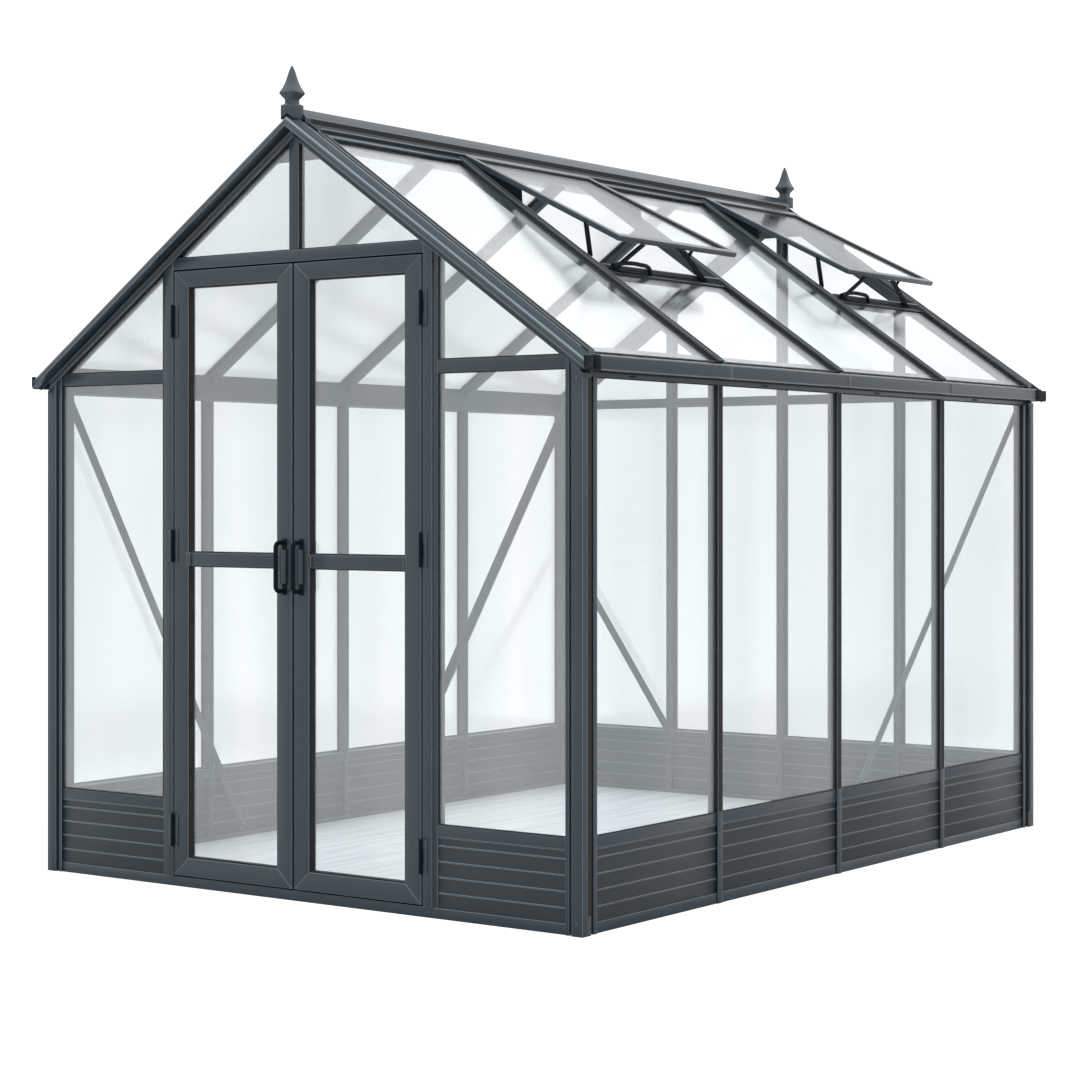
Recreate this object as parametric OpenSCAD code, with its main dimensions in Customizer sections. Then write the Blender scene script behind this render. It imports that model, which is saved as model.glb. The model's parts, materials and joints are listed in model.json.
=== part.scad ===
// Glass greenhouse: an apex-roofed frame of extruded bars, boarded base panels,
// glass walls and roof, two hinged door leaves and two propped roof vents.
// X runs across the gable, Y from the door end to the back, Z up from the ground.

/* [Overall] */
// Width over the corner posts
house_w = 2200; // [1800:10:2800]
// Length over the corner posts
house_l = 3000; // [2200:10:4200]
// Height of the roof line over the outer face of the side walls
roof_low = 1684; // [1500:1:2000]
// Height of the roof line at the ridge
roof_top = 2448; // [2250:1:3000]
// Number of glazed bays along each side
bays = 4; // [3:1:6]

/* [Base] */
// Height of the rail that lies on the ground
base_h = 32; // [25:1:60]
// Height of the top of the sill rail
sill_top = 280; // [200:1:420]
// Height of the sill rail
sill_h = 34; // [25:1:50]
// Spacing of the grooves in the base boards
board_pitch = 47; // [30:1:80]
// Thickness of the base boards
board_t = 14; // [10:1:17]
// Thickness of the floor
floor_t = 18; // [12:1:25]

/* [Posts and glazing bars] */
// Depth of the frame through a wall
frame_d = 44; // [40:1:60]
// Width of the clip cap on a glazing bar
cap_w = 28; // [24:1:40]
// Width of the cap on the gable king post
king_w = 40; // [30:1:50]
// Width of a corner post across the gable
post_w = 40; // [32:1:50]
// Width of the groove beside a corner post on the gable walls
gable_groove_w = 10; // [8:1:24]
// Width of the glazed flange of a corner post on the gable walls
gable_flange_w = 13; // [12:1:24]
// Width of the groove beside a corner post on the side walls
side_groove_w = 18; // [8:1:24]
// Width of the glazed flange of a corner post on the side walls
side_flange_w = 18; // [12:1:24]
// Width of the face of a door jamb
jamb_w = 36; // [30:1:60]
// Width of the glazed leg on a door jamb
jamb_leg = 15; // [12:1:24]
// Height of the transoms at eaves level
transom_h = 38; // [30:1:60]
// Height of the top of the transoms
transom_top = 1667; // [1500:1:1900]
// Height of the rail over the doors
header_h = 36; // [30:1:60]
// Thickness of the glass
glass_t = 4; // [3:1:6]

/* [Roof] */
// Height of the eaves beam
eave_h = 67; // [50:1:100]
// Reach of the gutter beyond the eaves beam
gutter_w = 41; // [30:1:70]
// Height of the gutter
gutter_h = 42; // [30:1:80]
// Thickness of the gutter walls
gutter_t = 3; // [2:0.5:4]
// Length of a gutter end cap
gutter_cap_l = 45; // [30:1:60]
// Reach of the verge cover beyond the gable
verge_out = 40; // [25:1:60]
// Depth of the verge cover, square to the roof
verge_h = 38; // [30:1:60]
// Depth of the gable bar under the cover, square to the roof
gable_bar_h = 20; // [16:1:40]
// Reach of the ridge flange down each slope
ridge_flange = 95; // [80:1:120]
// Height of the ridge cap over the roof line
ridge_rise = 22; // [12:1:40]
// Depth of the apex gusset plate below the gable bars
gusset_h = 70; // [50:1:120]

/* [Doors] */
// Clear width between the door jambs
door_w = 1032; // [800:2:1200]
// Height of the top of the door opening
door_top = 1990; // [1850:1:2020]
// Thickness of a door leaf
leaf_t = 32; // [28:1:38]
// Width of the door stiles
stile_w = 62; // [45:1:80]
// Height of the door top rail
door_rail_top = 51; // [40:1:80]
// Height of the door bottom rail
door_rail_low = 58; // [40:1:90]
// Height of the door middle rail
door_rail_mid = 41; // [30:1:60]
// Height of the centre of the middle rail
mid_rail_z = 1058; // [900:1:1200]
// Clearance round a door leaf
door_gap = 6; // [5.5:0.5:8]
// Clearance between the two leaves
meeting_gap = 8.5; // [8.5:0.5:12]
// Height of a door handle
handle_h = 165; // [120:1:250]
// Height of the centre of the handles
handle_z = 1040; // [900:1:1150]
// Reach of a handle from the face of the leaf
handle_out = 48; // [40:1:60]
// Diameter of the handle bar
handle_d = 14; // [10:1:18]
// Height of a hinge
hinge_h = 104; // [80:1:120]
// Radius of the hinge knuckles
knuckle_r = 5.5; // [5:0.5:7]
// Radius of the hinge pins
pin_r = 2.5; // [2:0.25:3]

/* [Roof vents] */
// Distance down the slope from the ridge to the bar under a vent
vent_bar_s = 775; // [600:1:900]
// Width of the bar under a vent
vent_bar_w = 32; // [24:1:50]
// Opening angle of the vents
vent_angle = 8.5; // [4:0.5:20]
// Width of the vent frame members
vent_frame_w = 26; // [20:1:40]
// Thickness of the vent frame members
vent_frame_t = 18; // [14:1:25]

/* [Braces and finials] */
// Width of the flat wall braces
brace_w = 32; // [24:1:45]
// Thickness of the flat wall braces
brace_t = 4; // [3:1:8]
// Width of the square finial base
finial_w = 52; // [40:1:70]
// Height of the finial over the roof line
finial_h = 150; // [130:1:200]

/* [Hidden] */

slate = "#3f4549";
black = "#15171a";
clear = [0.86, 0.92, 0.94, 0.35];
pale = "#dfe3e4";

half_w = house_w / 2;
half_l = house_l / 2;
bay_l = house_l / bays;
far = 2 * house_l;

// Depths through a wall or roof, counted inwards from the outer face
cap_out = 4;
cap_in = 9;
board_out = 12;
glass_out = cap_in + 4;
glass_in = glass_out + glass_t;

// Half widths of the neck and the inner box of a glazing bar
neck_half = 5;
box_half = 11;
glass_gap = 1;
mitre_gap = 0.3;

// Ends of the legs of a corner post, and of the neck beside the glass edge
glass_rebate = 10;
gable_leg_end = post_w + gable_groove_w + gable_flange_w;
gable_leg_neck = gable_leg_end - glass_rebate;
side_leg_end = frame_d + side_groove_w + side_flange_w;
side_leg_neck = side_leg_end - glass_rebate;

jamb_in = door_w / 2;
jamb_out = jamb_in + jamb_w;
mid_post_x = jamb_in + jamb_w / 2;

// The roof line falls from roof_top at the ridge to roof_low over the walls
slope = atan((roof_top - roof_low) / half_w);
function roof_z(x, depth) = roof_top - abs(x) * tan(slope) - depth / cos(slope);
function roof_x(z, depth) = (roof_top - depth / cos(slope) - z) / tan(slope);

gable_depth = verge_h + gable_bar_h;
beam_out = half_w - cap_in;
beam_in = half_w - frame_d;
beam_low = roof_z(beam_out, glass_in) - eave_h + gutter_t;
glass_over = 4;
glass_s_end = (half_w + glass_over) / cos(slope);
header_top = door_top + header_h;
transom_low = transom_top - transom_h;
board_top = sill_top - sill_h;
sill_lip = 4;
pane_low = sill_top - sill_lip;

// ---------------------------------------------------------------- placing

// A wall's own frame: x along the wall, y inwards from its outer face, z up
module on_front() { translate([0, -half_l, 0]) children(); }
module on_back() { translate([0, half_l, 0]) rotate([0, 0, 180]) children(); }
module on_right() { translate([half_w, 0, 0]) rotate([0, 0, 90]) children(); }
module on_left() { translate([-half_w, 0, 0]) rotate([0, 0, -90]) children(); }

// A roof slope's own frame: x down the slope from the ridge, y along the house,
// z outwards from the roof line
module on_right_slope() { translate([0, 0, roof_top]) rotate([0, slope, 0]) children(); }
module on_left_slope() { mirror([1, 0, 0]) on_right_slope() children(); }

// Extrudes an outline in (x, z) along y
module along_y(y0, y1) {
    translate([0, y1, 0]) rotate([90, 0, 0]) linear_extrude(y1 - y0) children();
}

// Extrudes an outline in (y, z) along x
module along_x(x0, x1) {
    translate([x0, 0, 0]) rotate([90, 0, 90]) linear_extrude(x1 - x0) children();
}

module box(x0, x1, y0, y1, z0, z1) {
    translate([x0, y0, z0]) cube([x1 - x0, y1 - y0, z1 - z0]);
}

// Everything above the roof, down to a depth square to the roof line
module above_roof(depth) {
    for (side = [0, 1])
        mirror([side, 0, 0])
            on_right_slope() box(-far, far, -far, far, -depth, far);
}

module below_roof(depth) {
    difference() {
        children();
        above_roof(depth);
    }
}

// ---------------------------------------------------------------- profiles

// Section of a glazing bar: clip cap, neck and the box behind the glass
module bar_section(width) {
    translate([-width / 2, cap_out]) square([width, cap_in - cap_out]);
    translate([-neck_half, cap_in]) square([2 * neck_half, glass_in - cap_in]);
    translate([-box_half, glass_in]) square([2 * box_half, frame_d - glass_in]);
}

// Section of the grooved leg that takes the glass beside a corner post
module post_leg_section(start, groove, end) {
    neck = end - glass_rebate;
    translate([start, board_out]) square([groove, frame_d - board_out]);
    translate([start + groove, cap_out]) square([neck - start - groove, frame_d - cap_out]);
    translate([neck, cap_out]) square([glass_rebate, cap_in - cap_out]);
    translate([neck, glass_in]) square([glass_rebate, frame_d - glass_in]);
}

// Section of a door jamb at the right of the opening, with its glazed leg
module jamb_section() {
    translate([jamb_in, 0]) square([jamb_w, frame_d]);
    translate([jamb_out, cap_in]) square([jamb_leg / 3, frame_d - cap_in]);
    translate([jamb_out, cap_in]) square([jamb_leg, glass_out - cap_in]);
    translate([jamb_out, glass_in]) square([jamb_leg, frame_d - glass_in]);
}

// Section of the grooved base boards, in (depth, height)
module board_section() {
    groove = 3;
    difference() {
        translate([board_out, base_h]) square([board_t, board_top - base_h]);
        for (z = [base_h + board_pitch : board_pitch : board_top - groove])
            translate([board_out, z])
                polygon([[0, -groove], [groove, 0], [0, groove]]);
    }
}

// Section of a sill rail, in (depth, height)
module sill_section() {
    translate([cap_in, board_top]) square([frame_d - cap_in, pane_low - board_top]);
    translate([cap_in, board_top]) square([glass_out - cap_in, sill_h]);
}

// ---------------------------------------------------------------- walls

// Edges of the clear bays of a side wall, between the boxes of its bars
function side_x(i, inset_post, inset_bar) =
    i == 0 ? -half_l + inset_post : -half_l + i * bay_l + inset_bar;
function side_end(i, inset_post, inset_bar) =
    i == bays ? half_l - inset_post : -half_l + i * bay_l - inset_bar;

// Runs a child outline, in (depth, height), along each bay of a side wall
module side_bays(inset_post, inset_bar) {
    for (i = [0 : bays - 1])
        along_x(side_x(i, inset_post, inset_bar), side_end(i + 1, inset_post, inset_bar))
            children();
}

// The same along the two bays beside the doors
module front_bays(inset_post, inset_jamb) {
    for (side = [0, 1])
        mirror([side, 0, 0])
            along_x(jamb_out + inset_jamb, half_w - inset_post) children();
}

// The same along the four bays of the back wall
module back_bays(inset_post, inset_mid, inset_bar) {
    for (side = [0, 1])
        mirror([side, 0, 0]) {
            along_x(inset_bar, mid_post_x - inset_mid) children();
            along_x(mid_post_x + inset_mid, half_w - inset_post) children();
        }
}

module base_rail(half) { box(-half, half, cap_in, frame_d, 0, base_h); }

module base_rails() {
    color(slate) {
        on_front() base_rail(half_w - gable_leg_end);
        on_back() base_rail(half_w - gable_leg_end);
        on_left() base_rail(half_l - side_leg_end);
        on_right() base_rail(half_l - side_leg_end);
    }
}

module front_boards() {
    color(slate) on_front() front_bays(gable_leg_end, jamb_leg) board_section();
}

module back_boards() {
    color(slate) on_back() back_bays(gable_leg_end, box_half, box_half) board_section();
}

module left_boards() {
    color(slate) on_left() side_bays(side_leg_end, box_half) board_section();
}

module right_boards() {
    color(slate) on_right() side_bays(side_leg_end, box_half) board_section();
}

module sill_rails() {
    color(slate) {
        on_front() front_bays(gable_leg_end, jamb_leg) sill_section();
        on_back() back_bays(gable_leg_end, box_half, box_half) sill_section();
        on_left() side_bays(side_leg_end, box_half) sill_section();
        on_right() side_bays(side_leg_end, box_half) sill_section();
    }
}

// A corner post at the right front: its gable leg runs up to the gable bar, its
// side leg stops under the eaves beam and its outer edge under the gutter
module corner_post() {
    difference() {
        below_roof(gable_depth)
            translate([half_w, -half_l, 0]) mirror([1, 0, 0])
                linear_extrude(roof_top) {
                    square([post_w, frame_d]);
                    post_leg_section(post_w, gable_groove_w, gable_leg_end);
                }
        box(beam_out, far, -far, far, gutter_low - gutter_cap_lip, far);
    }
    translate([half_w, -half_l, 0]) mirror([1, 0, 0])
        linear_extrude(beam_low)
            mirror([1, -1]) post_leg_section(frame_d, side_groove_w, side_leg_end);
}

module front_corner_posts() {
    color(slate) for (side = [0, 1]) mirror([side, 0, 0]) corner_post();
}

module back_corner_posts() {
    color(slate)
        for (side = [0, 1])
            mirror([side, 0, 0]) mirror([0, 1, 0]) corner_post();
}

module door_jambs() {
    color(slate)
        on_front() for (side = [0, 1]) mirror([side, 0, 0])
            below_roof(gable_depth)
                translate([0, 0, base_h]) linear_extrude(roof_top) jamb_section();
}

module door_header() {
    color(slate)
        on_front() below_roof(gable_depth)
            box(-jamb_in, jamb_in, 0, frame_d, door_top, header_top);
}

module front_transoms() {
    color(slate)
        on_front() below_roof(gable_depth) front_bays(gable_leg_end, jamb_leg)
            translate([cap_in, transom_low]) square([frame_d - cap_in, transom_h]);
}

module front_king_post() {
    color(slate)
        on_front() below_roof(gable_depth)
            translate([0, 0, header_top]) linear_extrude(roof_top) bar_section(king_w);
}

// Bars of one side wall: the boxes stand on the base rail and the clip caps run
// down over it
module side_mullions() {
    for (i = [1 : bays - 1])
        translate([-half_l + i * bay_l, 0, 0]) {
            translate([0, 0, base_h]) linear_extrude(beam_low - base_h) bar_section(cap_w);
            box(-cap_w / 2, cap_w / 2, cap_out, cap_in, 0, base_h);
        }
}

module left_mullions() { color(slate) on_left() side_mullions(); }

module right_mullions() { color(slate) on_right() side_mullions(); }

// Bars of the back wall: two posts in line with the door jambs and a centre bar
module back_mullions() {
    color(slate)
        on_back() below_roof(gable_depth)
            for (x = [-mid_post_x, 0, mid_post_x])
                translate([x, 0, 0]) {
                    translate([0, 0, base_h]) linear_extrude(roof_top) bar_section(king_w);
                    box(-king_w / 2, king_w / 2, cap_out, cap_in, 0, base_h);
                }
}

module back_transoms() {
    color(slate)
        on_back() below_roof(gable_depth) back_bays(gable_leg_end, box_half, box_half)
            translate([glass_in, transom_low]) square([frame_d - glass_in, transom_h]);
}

// ---------------------------------------------------------------- roof frame

module eaves_beam() {
    along_y(-half_l + frame_d, half_l - frame_d)
        polygon([
            [beam_in, beam_low], [beam_out, beam_low],
            [beam_out, roof_z(beam_out, glass_in)], [beam_in, roof_z(beam_in, glass_in)]
        ]);
}

module eaves_beams() {
    color(slate) for (side = [0, 1]) mirror([side, 0, 0]) eaves_beam();
}

gutter_top = roof_z(beam_out, glass_in) - 6;
gutter_low = gutter_top - gutter_h;
gutter_out = beam_out + gutter_w;

// How far an end cap stands proud of the gutter, below, above and outside
gutter_cap_lip = 2;
// An end cap reaches past the end of the eaves beam
gutter_cap_end = max(gutter_cap_l, frame_d + 1);

module gutter() {
    along_y(-half_l + gutter_cap_end, half_l - gutter_cap_end)
        difference() {
            translate([beam_out, gutter_low]) square([gutter_w, gutter_h]);
            translate([beam_out + gutter_t, gutter_low + gutter_t])
                square([gutter_w - 2 * gutter_t, gutter_h]);
        }
}

module left_gutter() { color(slate) mirror([1, 0, 0]) gutter(); }

module right_gutter() { color(slate) gutter(); }

// Blocks that close the gutters behind the feet of the verge covers
module gutter_end_caps() {
    color(slate)
        for (side = [0, 1], end = [0, 1])
            mirror([side, 0, 0]) mirror([0, end, 0])
                box(beam_out, gutter_out + gutter_cap_lip, -half_l, -half_l + gutter_cap_end,
                    gutter_low - gutter_cap_lip, gutter_top + gutter_cap_lip);
}

core_half = 18;
ridge_core_h = 78;
flange_top = 2;
hook_w = 6;
hook_rise = 8;
cap_over = 22;

// The ridge: a box core, a flange down each slope with an upturned edge, and a cap
// with steep flanks that runs on over the verges to the finials
module ridge() {
    cap_half = 36;
    crown_half = 12;
    crown_drop = 4;
    flank_drop = 32;
    crown_low = roof_top + ridge_rise - crown_drop;
    flank_low = roof_top + ridge_rise - flank_drop;
    color(slate) {
        along_y(-half_l + frame_d, half_l - frame_d) {
            translate([-core_half, roof_top - ridge_core_h])
                square([2 * core_half, ridge_core_h]);
            for (side = [0, 1])
                mirror([side, 0])
                    translate([0, roof_top]) rotate(-slope) {
                        translate([0, -cap_in]) square([ridge_flange, cap_in - flange_top]);
                        translate([ridge_flange - hook_w, -cap_in])
                            square([hook_w, cap_in + hook_rise]);
                    }
        }
        along_y(-half_l + cap_over, half_l - cap_over)
            polygon([
                [0, roof_top + ridge_rise], [crown_half, crown_low],
                [cap_half, flank_low], [cap_half, roof_z(cap_half, cap_out)],
                [0, roof_z(0, cap_out)], [-cap_half, roof_z(cap_half, cap_out)],
                [-cap_half, flank_low], [-crown_half, crown_low]
            ]);
    }
}

// One rafter: its box runs from the ridge core to the eaves beam, and its cap
// from the ridge flange to the gutter
module rafter() {
    intersection() {
        on_right_slope()
            along_x(-far, far)
                translate([-box_half, -frame_d]) square([2 * box_half, frame_d - glass_in]);
        box(core_half, beam_in, -far, far, 0, far);
    }
    on_right_slope()
        along_x(ridge_flange, glass_s_end) {
            translate([-neck_half, -glass_in])
                square([2 * neck_half, glass_in - cap_out]);
            translate([-cap_w / 2, -cap_in]) square([cap_w, cap_in - cap_out]);
        }
}

module rafters() {
    for (i = [1 : bays - 1])
        translate([0, -half_l + i * bay_l, 0]) rafter();
}

module left_rafters() { color(slate) mirror([1, 0, 0]) rafters(); }

module right_rafters() { color(slate) rafters(); }

// Width of the leg beside each gable bar that holds the edge of the roof glass
verge_leg = 12;

// Bays of the right slope that have a vent: the second and the last
vent_bays = [1, bays - 1];
function vent_y0(i) = -half_l + i * bay_l + box_half;
function vent_y1(i) = i == bays - 1
    ? half_l - frame_d - verge_leg
    : -half_l + (i + 1) * bay_l - box_half;

module vent_cross_bars() {
    lip = 6;
    color(slate)
        for (i = vent_bays)
            on_right_slope() {
                box(vent_bar_s, vent_bar_s + vent_bar_w, vent_y0(i), vent_y1(i),
                    -frame_d + lip, -cap_in);
                box(vent_bar_s, vent_bar_s + lip, vent_y0(i) + lip, vent_y1(i) - lip - lip,
                    -cap_in, lip / 2);
            }
}

verge_nose_r = 16;
verge_cap_w = 30;
verge_lip = 8;

// Section of the front verge cover in (y, z) of the slope, with a rounded nose
module cover_section(back) {
    nose_y = -half_l - verge_out;
    difference() {
        translate([nose_y, -verge_h]) square([verge_out + back, verge_h]);
        translate([nose_y, -verge_nose_r]) square(verge_nose_r);
    }
    translate([nose_y + verge_nose_r, -verge_nose_r]) circle(verge_nose_r, $fn = 48);
}

// The cover with the gable bar behind it
module verge_section() {
    translate([-half_l, -gable_depth]) square([frame_d, gable_depth - cap_in]);
    cover_section(verge_lip);
}

// Half of the front verge, with the cap and the leg that hold the edge of the
// roof glass behind it. The cover runs on down over the end of the gutter.
module verge_half() {
    verge_back = -half_l + frame_d;
    intersection() {
        on_right_slope() along_x(-far, far) verge_section();
        box(mitre_gap / 2, beam_out, -far, far, 0, far);
    }
    intersection() {
        on_right_slope() along_x(-far, far) cover_section(0);
        box(beam_out, gutter_out + gutter_cap_lip, -far, far, 0, far);
    }
    intersection() {
        on_right_slope() {
            box(ridge_flange, far, verge_back + verge_leg - verge_cap_w,
                verge_back + verge_leg, -cap_in, -cap_out);
            box(0, far, verge_back, verge_back + verge_leg, -frame_d, -glass_in);
        }
        box(core_half, beam_in, -far, far, 0, far);
    }
    intersection() {
        on_right_slope()
            box(0, far, verge_back + verge_leg - verge_cap_w, verge_back + verge_leg,
                -cap_in, -cap_out);
        box(beam_in, half_w + glass_over, -far, far, 0, far);
    }
}

module front_verge() {
    color(slate) for (side = [0, 1]) mirror([side, 0, 0]) verge_half();
}

module back_verge() {
    color(slate)
        for (side = [0, 1])
            mirror([side, 0, 0]) mirror([0, 1, 0]) verge_half();
}

gusset_t = 4;

// Least height of the outer edges of a gusset plate
gusset_edge = 2;

// Plates that tie the gable bars together under each end of the ridge
module apex_gussets() {
    gusset_low = roof_top - gable_depth / cos(slope) - gusset_h;
    gusset_half = min(roof_x(gusset_low, gable_depth) + gable_bar_h,
        roof_x(gusset_low + gusset_edge, frame_d));
    color(slate)
        for (end = [0, 1])
            mirror([0, end, 0])
                along_y(-half_l + frame_d, -half_l + frame_d + gusset_t)
                    polygon([
                        [-gusset_half, gusset_low], [gusset_half, gusset_low],
                        [gusset_half, roof_z(gusset_half, frame_d)],
                        [core_half, roof_z(core_half, frame_d)],
                        [core_half, roof_top - ridge_core_h],
                        [-core_half, roof_top - ridge_core_h],
                        [-core_half, roof_z(core_half, frame_d)],
                        [-gusset_half, roof_z(gusset_half, frame_d)]
                    ]);
}

// A four-sided spear on a square block that sits over the apex of the verge
finial_y = half_l - cap_over + finial_w / 2;

module finial() {
    r = finial_w / sqrt(2);
    block_h = 28;
    neck_r = 24;
    spear_r = 40;
    tip_r = 3;
    color(slate)
        difference() {
            translate([0, 0, roof_top]) rotate([0, 0, 45]) rotate_extrude($fn = 4)
                polygon([
                    [0, -finial_w], [r, -finial_w], [r, block_h], [neck_r + 5, block_h + 4],
                    [neck_r, block_h + 8], [neck_r, block_h + 16], [spear_r, block_h + 32],
                    [spear_r, block_h + 38], [spear_r / 2, block_h + 72],
                    [tip_r, finial_h], [0, finial_h]
                ]);
            under_roof_line();
        }
}

module under_roof_line() {
    difference() {
        box(-half_w, half_w, -half_l, half_l, 0, 2 * roof_top);
        above_roof(0);
    }
}

module front_finial() { translate([0, -finial_y, 0]) finial(); }

module back_finial() { translate([0, finial_y, 0]) finial(); }

// ---------------------------------------------------------------- glass

module pane(points) {
    along_y(glass_out, glass_in) polygon(points);
}

// Panes of the right half of the front wall
module front_half_glass() {
    jamb_edge = jamb_out + jamb_leg / 3 + glass_gap;
    post_edge = half_w - gable_leg_neck - glass_gap;
    king_edge = neck_half + glass_gap;
    gable_end = min(post_edge, roof_x(transom_top, gable_depth));
    top_end = min(jamb_in, roof_x(header_top, gable_depth));
    box(jamb_edge, post_edge, glass_out, glass_in, pane_low, transom_low);
    pane([
        [jamb_edge, transom_top], [gable_end, transom_top],
        [gable_end, roof_z(gable_end, gable_depth)],
        [jamb_edge, roof_z(jamb_edge, gable_depth)]
    ]);
    pane([
        [king_edge, header_top], [top_end, header_top],
        [king_edge, roof_z(king_edge, gable_depth)]
    ]);
}

module front_glass() {
    color(clear) on_front() for (side = [0, 1]) mirror([side, 0, 0]) front_half_glass();
}

// Panes of half of the back wall: two tall ones, each from the sill to the roof
module back_half_glass() {
    inner = neck_half + glass_gap;
    post_edge = half_w - gable_leg_neck - glass_gap;
    for (span = [[inner, mid_post_x - inner], [mid_post_x + inner, post_edge]])
        pane([
            [span[0], pane_low], [span[1], pane_low],
            [span[1], roof_z(span[1], gable_depth)], [span[0], roof_z(span[0], gable_depth)]
        ]);
}

module back_glass() {
    color(clear) on_back() for (side = [0, 1]) mirror([side, 0, 0]) back_half_glass();
}

module side_glass() {
    side_bays(side_leg_neck + glass_gap, neck_half + glass_gap)
        translate([glass_out, pane_low]) square([glass_t, beam_low - pane_low]);
}

module left_glass() { color(clear) on_left() side_glass(); }

module right_glass() { color(clear) on_right() side_glass(); }

roof_pane_s0 = 60;

// One roof pane in bay i, from s0 down to the gutter
module roof_pane(i, s0) {
    y0 = i == 0 ? -half_l + frame_d + glass_gap : -half_l + i * bay_l + neck_half + glass_gap;
    y1 = i == bays - 1
        ? half_l - frame_d - glass_gap
        : -half_l + (i + 1) * bay_l - neck_half - glass_gap;
    box(s0, glass_s_end, y0, y1, -glass_in, -glass_out);
}

module left_roof_glass() {
    color(clear) on_left_slope() for (i = [0 : bays - 1]) roof_pane(i, roof_pane_s0);
}

module right_roof_glass() {
    color(clear)
        on_right_slope()
            for (i = [0 : bays - 1])
                roof_pane(i, len(search(i, vent_bays)) > 0
                    ? vent_bar_s + vent_bar_w
                    : roof_pane_s0);
}

// ---------------------------------------------------------------- roof vents

vent_l = vent_bar_s - ridge_flange + vent_bar_w / 2;
vent_side_gap = 4;

function vent_w0(i) = -half_l + i * bay_l + cap_w / 2 + vent_side_gap;
function vent_w1(i) = i == bays - 1
    ? half_l - frame_d - verge_leg - vent_side_gap
    : -half_l + (i + 1) * bay_l - cap_w / 2 - vent_side_gap;

// A vent's own frame: hooked behind the upturned edge of the ridge flange,
// x down the vent, z out of its top face
module on_vent() {
    on_right_slope()
        translate([ridge_flange + mitre_gap, 0, hook_rise])
            rotate([0, -vent_angle, 0]) children();
}

// Keeps what lies on one side of the mitre at the corner (x, y), turned by angle
module mitred(x, y, angle) {
    difference() {
        children();
        translate([x, y, 0]) rotate([0, 0, angle])
            box(-far, far, -mitre_gap / 2, far, -far, far);
    }
}

module vent_frame(i) {
    y0 = vent_w0(i);
    y1 = vent_w1(i);
    w = vent_frame_w;
    for (x = [0, vent_l - w])
        mitred(x, x == 0 ? y0 : y0 + w, x == 0 ? 225 : 135)
            mitred(x, x == 0 ? y1 : y1 - w, x == 0 ? -45 : 45)
                box(x, x + w, y0, y1, -vent_frame_t, 0);
    for (y = [y0, y1 - w])
        mitred(0, y == y0 ? y0 : y1, y == y0 ? 45 : 135)
            mitred(vent_l, y == y0 ? y0 : y1, y == y0 ? -45 : -135)
                box(0, vent_l, y, y + w, -vent_frame_t, 0);
}

module vent_frames() {
    color(slate) on_vent() for (i = vent_bays) vent_frame(i);
}

module vent_glass() {
    w = vent_frame_w;
    color(clear)
        on_vent()
            for (i = vent_bays)
                box(w, vent_l - w, vent_w0(i) + w, vent_w1(i) - w,
                    -vent_frame_t / 2 - glass_t / 2, -vent_frame_t / 2 + glass_t / 2);
}

// A flat strut in the (y, z) plane of the slope, centred between two points
module strut(x, from, to, width, thick) {
    run = to - from;
    translate([x, from[0], from[1]])
        rotate([atan2(run[1], run[0]), 0, 0])
            translate([0, 0, -width / 2]) cube([thick, norm(run), width]);
}

// Two struts prop each vent off its cross bar, and a stay bar lies beside them.
// The feet, the heads and the bar are placed by their shares of the vent's width.
module vent_stays() {
    strut_w = 18;
    strut_t = 8;
    seat_in = 10;
    feet = [0.04, 0.96];
    heads = [0.22, 0.46];
    bar_ends = [0.1, 0.34];
    bar_w = 10;
    bar_h = 6;
    bar_gap = 2;
    lift = vent_l * sin(vent_angle) + hook_rise;
    seat = vent_bar_s + seat_in;
    bar_x = seat + strut_t + bar_gap;
    color(black)
        for (i = vent_bays) {
            width = vent_w1(i) - vent_w0(i);
            y0 = vent_w0(i);
            difference() {
                on_right_slope()
                    for (k = [0, 1])
                        strut(seat, [y0 + feet[k] * width, -frame_d],
                            [y0 + heads[k] * width, lift], strut_w, strut_t);
                on_right_slope() box(0, far, -far, far, -far, -cap_in);
                on_vent() box(-far, far, -far, far, -vent_frame_t, far);
            }
            on_right_slope()
                box(bar_x, bar_x + bar_w, y0 + bar_ends[0] * width,
                    y0 + bar_ends[1] * width, -cap_in, -cap_in + bar_h);
        }
}

// ---------------------------------------------------------------- inside

// A flat brace in the (x, z) plane of a wall, against the inner faces of its bars
module brace(from, to) {
    run = to - from;
    translate([from[0], frame_d, from[1]])
        rotate([0, -atan2(run[1], run[0]), 0])
            translate([0, 0, -brace_w / 2]) cube([norm(run), brace_t, brace_w]);
}

module wall_braces() {
    top = beam_low - brace_w;
    foot = floor_t + brace_w;
    side_start = half_l - (frame_d + side_leg_end) / 2;
    gable_start = half_w - frame_d - brace_w / 2;
    left_reach = 1.22 * bay_l;
    right_reach = 2 * bay_l;
    front_low = 0.43 * top;
    back_high = 0.64 * top;
    color(slate) {
        on_left() brace([side_start, top], [half_l - left_reach, foot]);
        on_right() brace([side_start, top], [half_l - right_reach, foot]);
        on_front() brace([gable_start, top], [jamb_out, front_low]);
        on_back() brace([gable_start, back_high], [mid_post_x, sill_top]);
    }
}

module floor() {
    color(pale)
        box(-half_w + frame_d, half_w - frame_d, -half_l + frame_d, half_l - frame_d,
            0, floor_t);
}

// ---------------------------------------------------------------- doors

leaf_out = jamb_in - door_gap;
leaf_in = meeting_gap / 2;
leaf_low = base_h + door_gap;
leaf_top = door_top - door_gap;
leaf_w = leaf_out - leaf_in;
axis_x = jamb_in - door_gap / 2;
axis_y = -knuckle_r - 1;

// Heights of the hinge centres from the foot, the middle rail and the head of a leaf
hinge_up = 145;
hinge_over_mid = 42;
hinge_down = 159;
hinge_zs = [leaf_low + hinge_up, mid_rail_z + hinge_over_mid, leaf_top - hinge_down];

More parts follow.
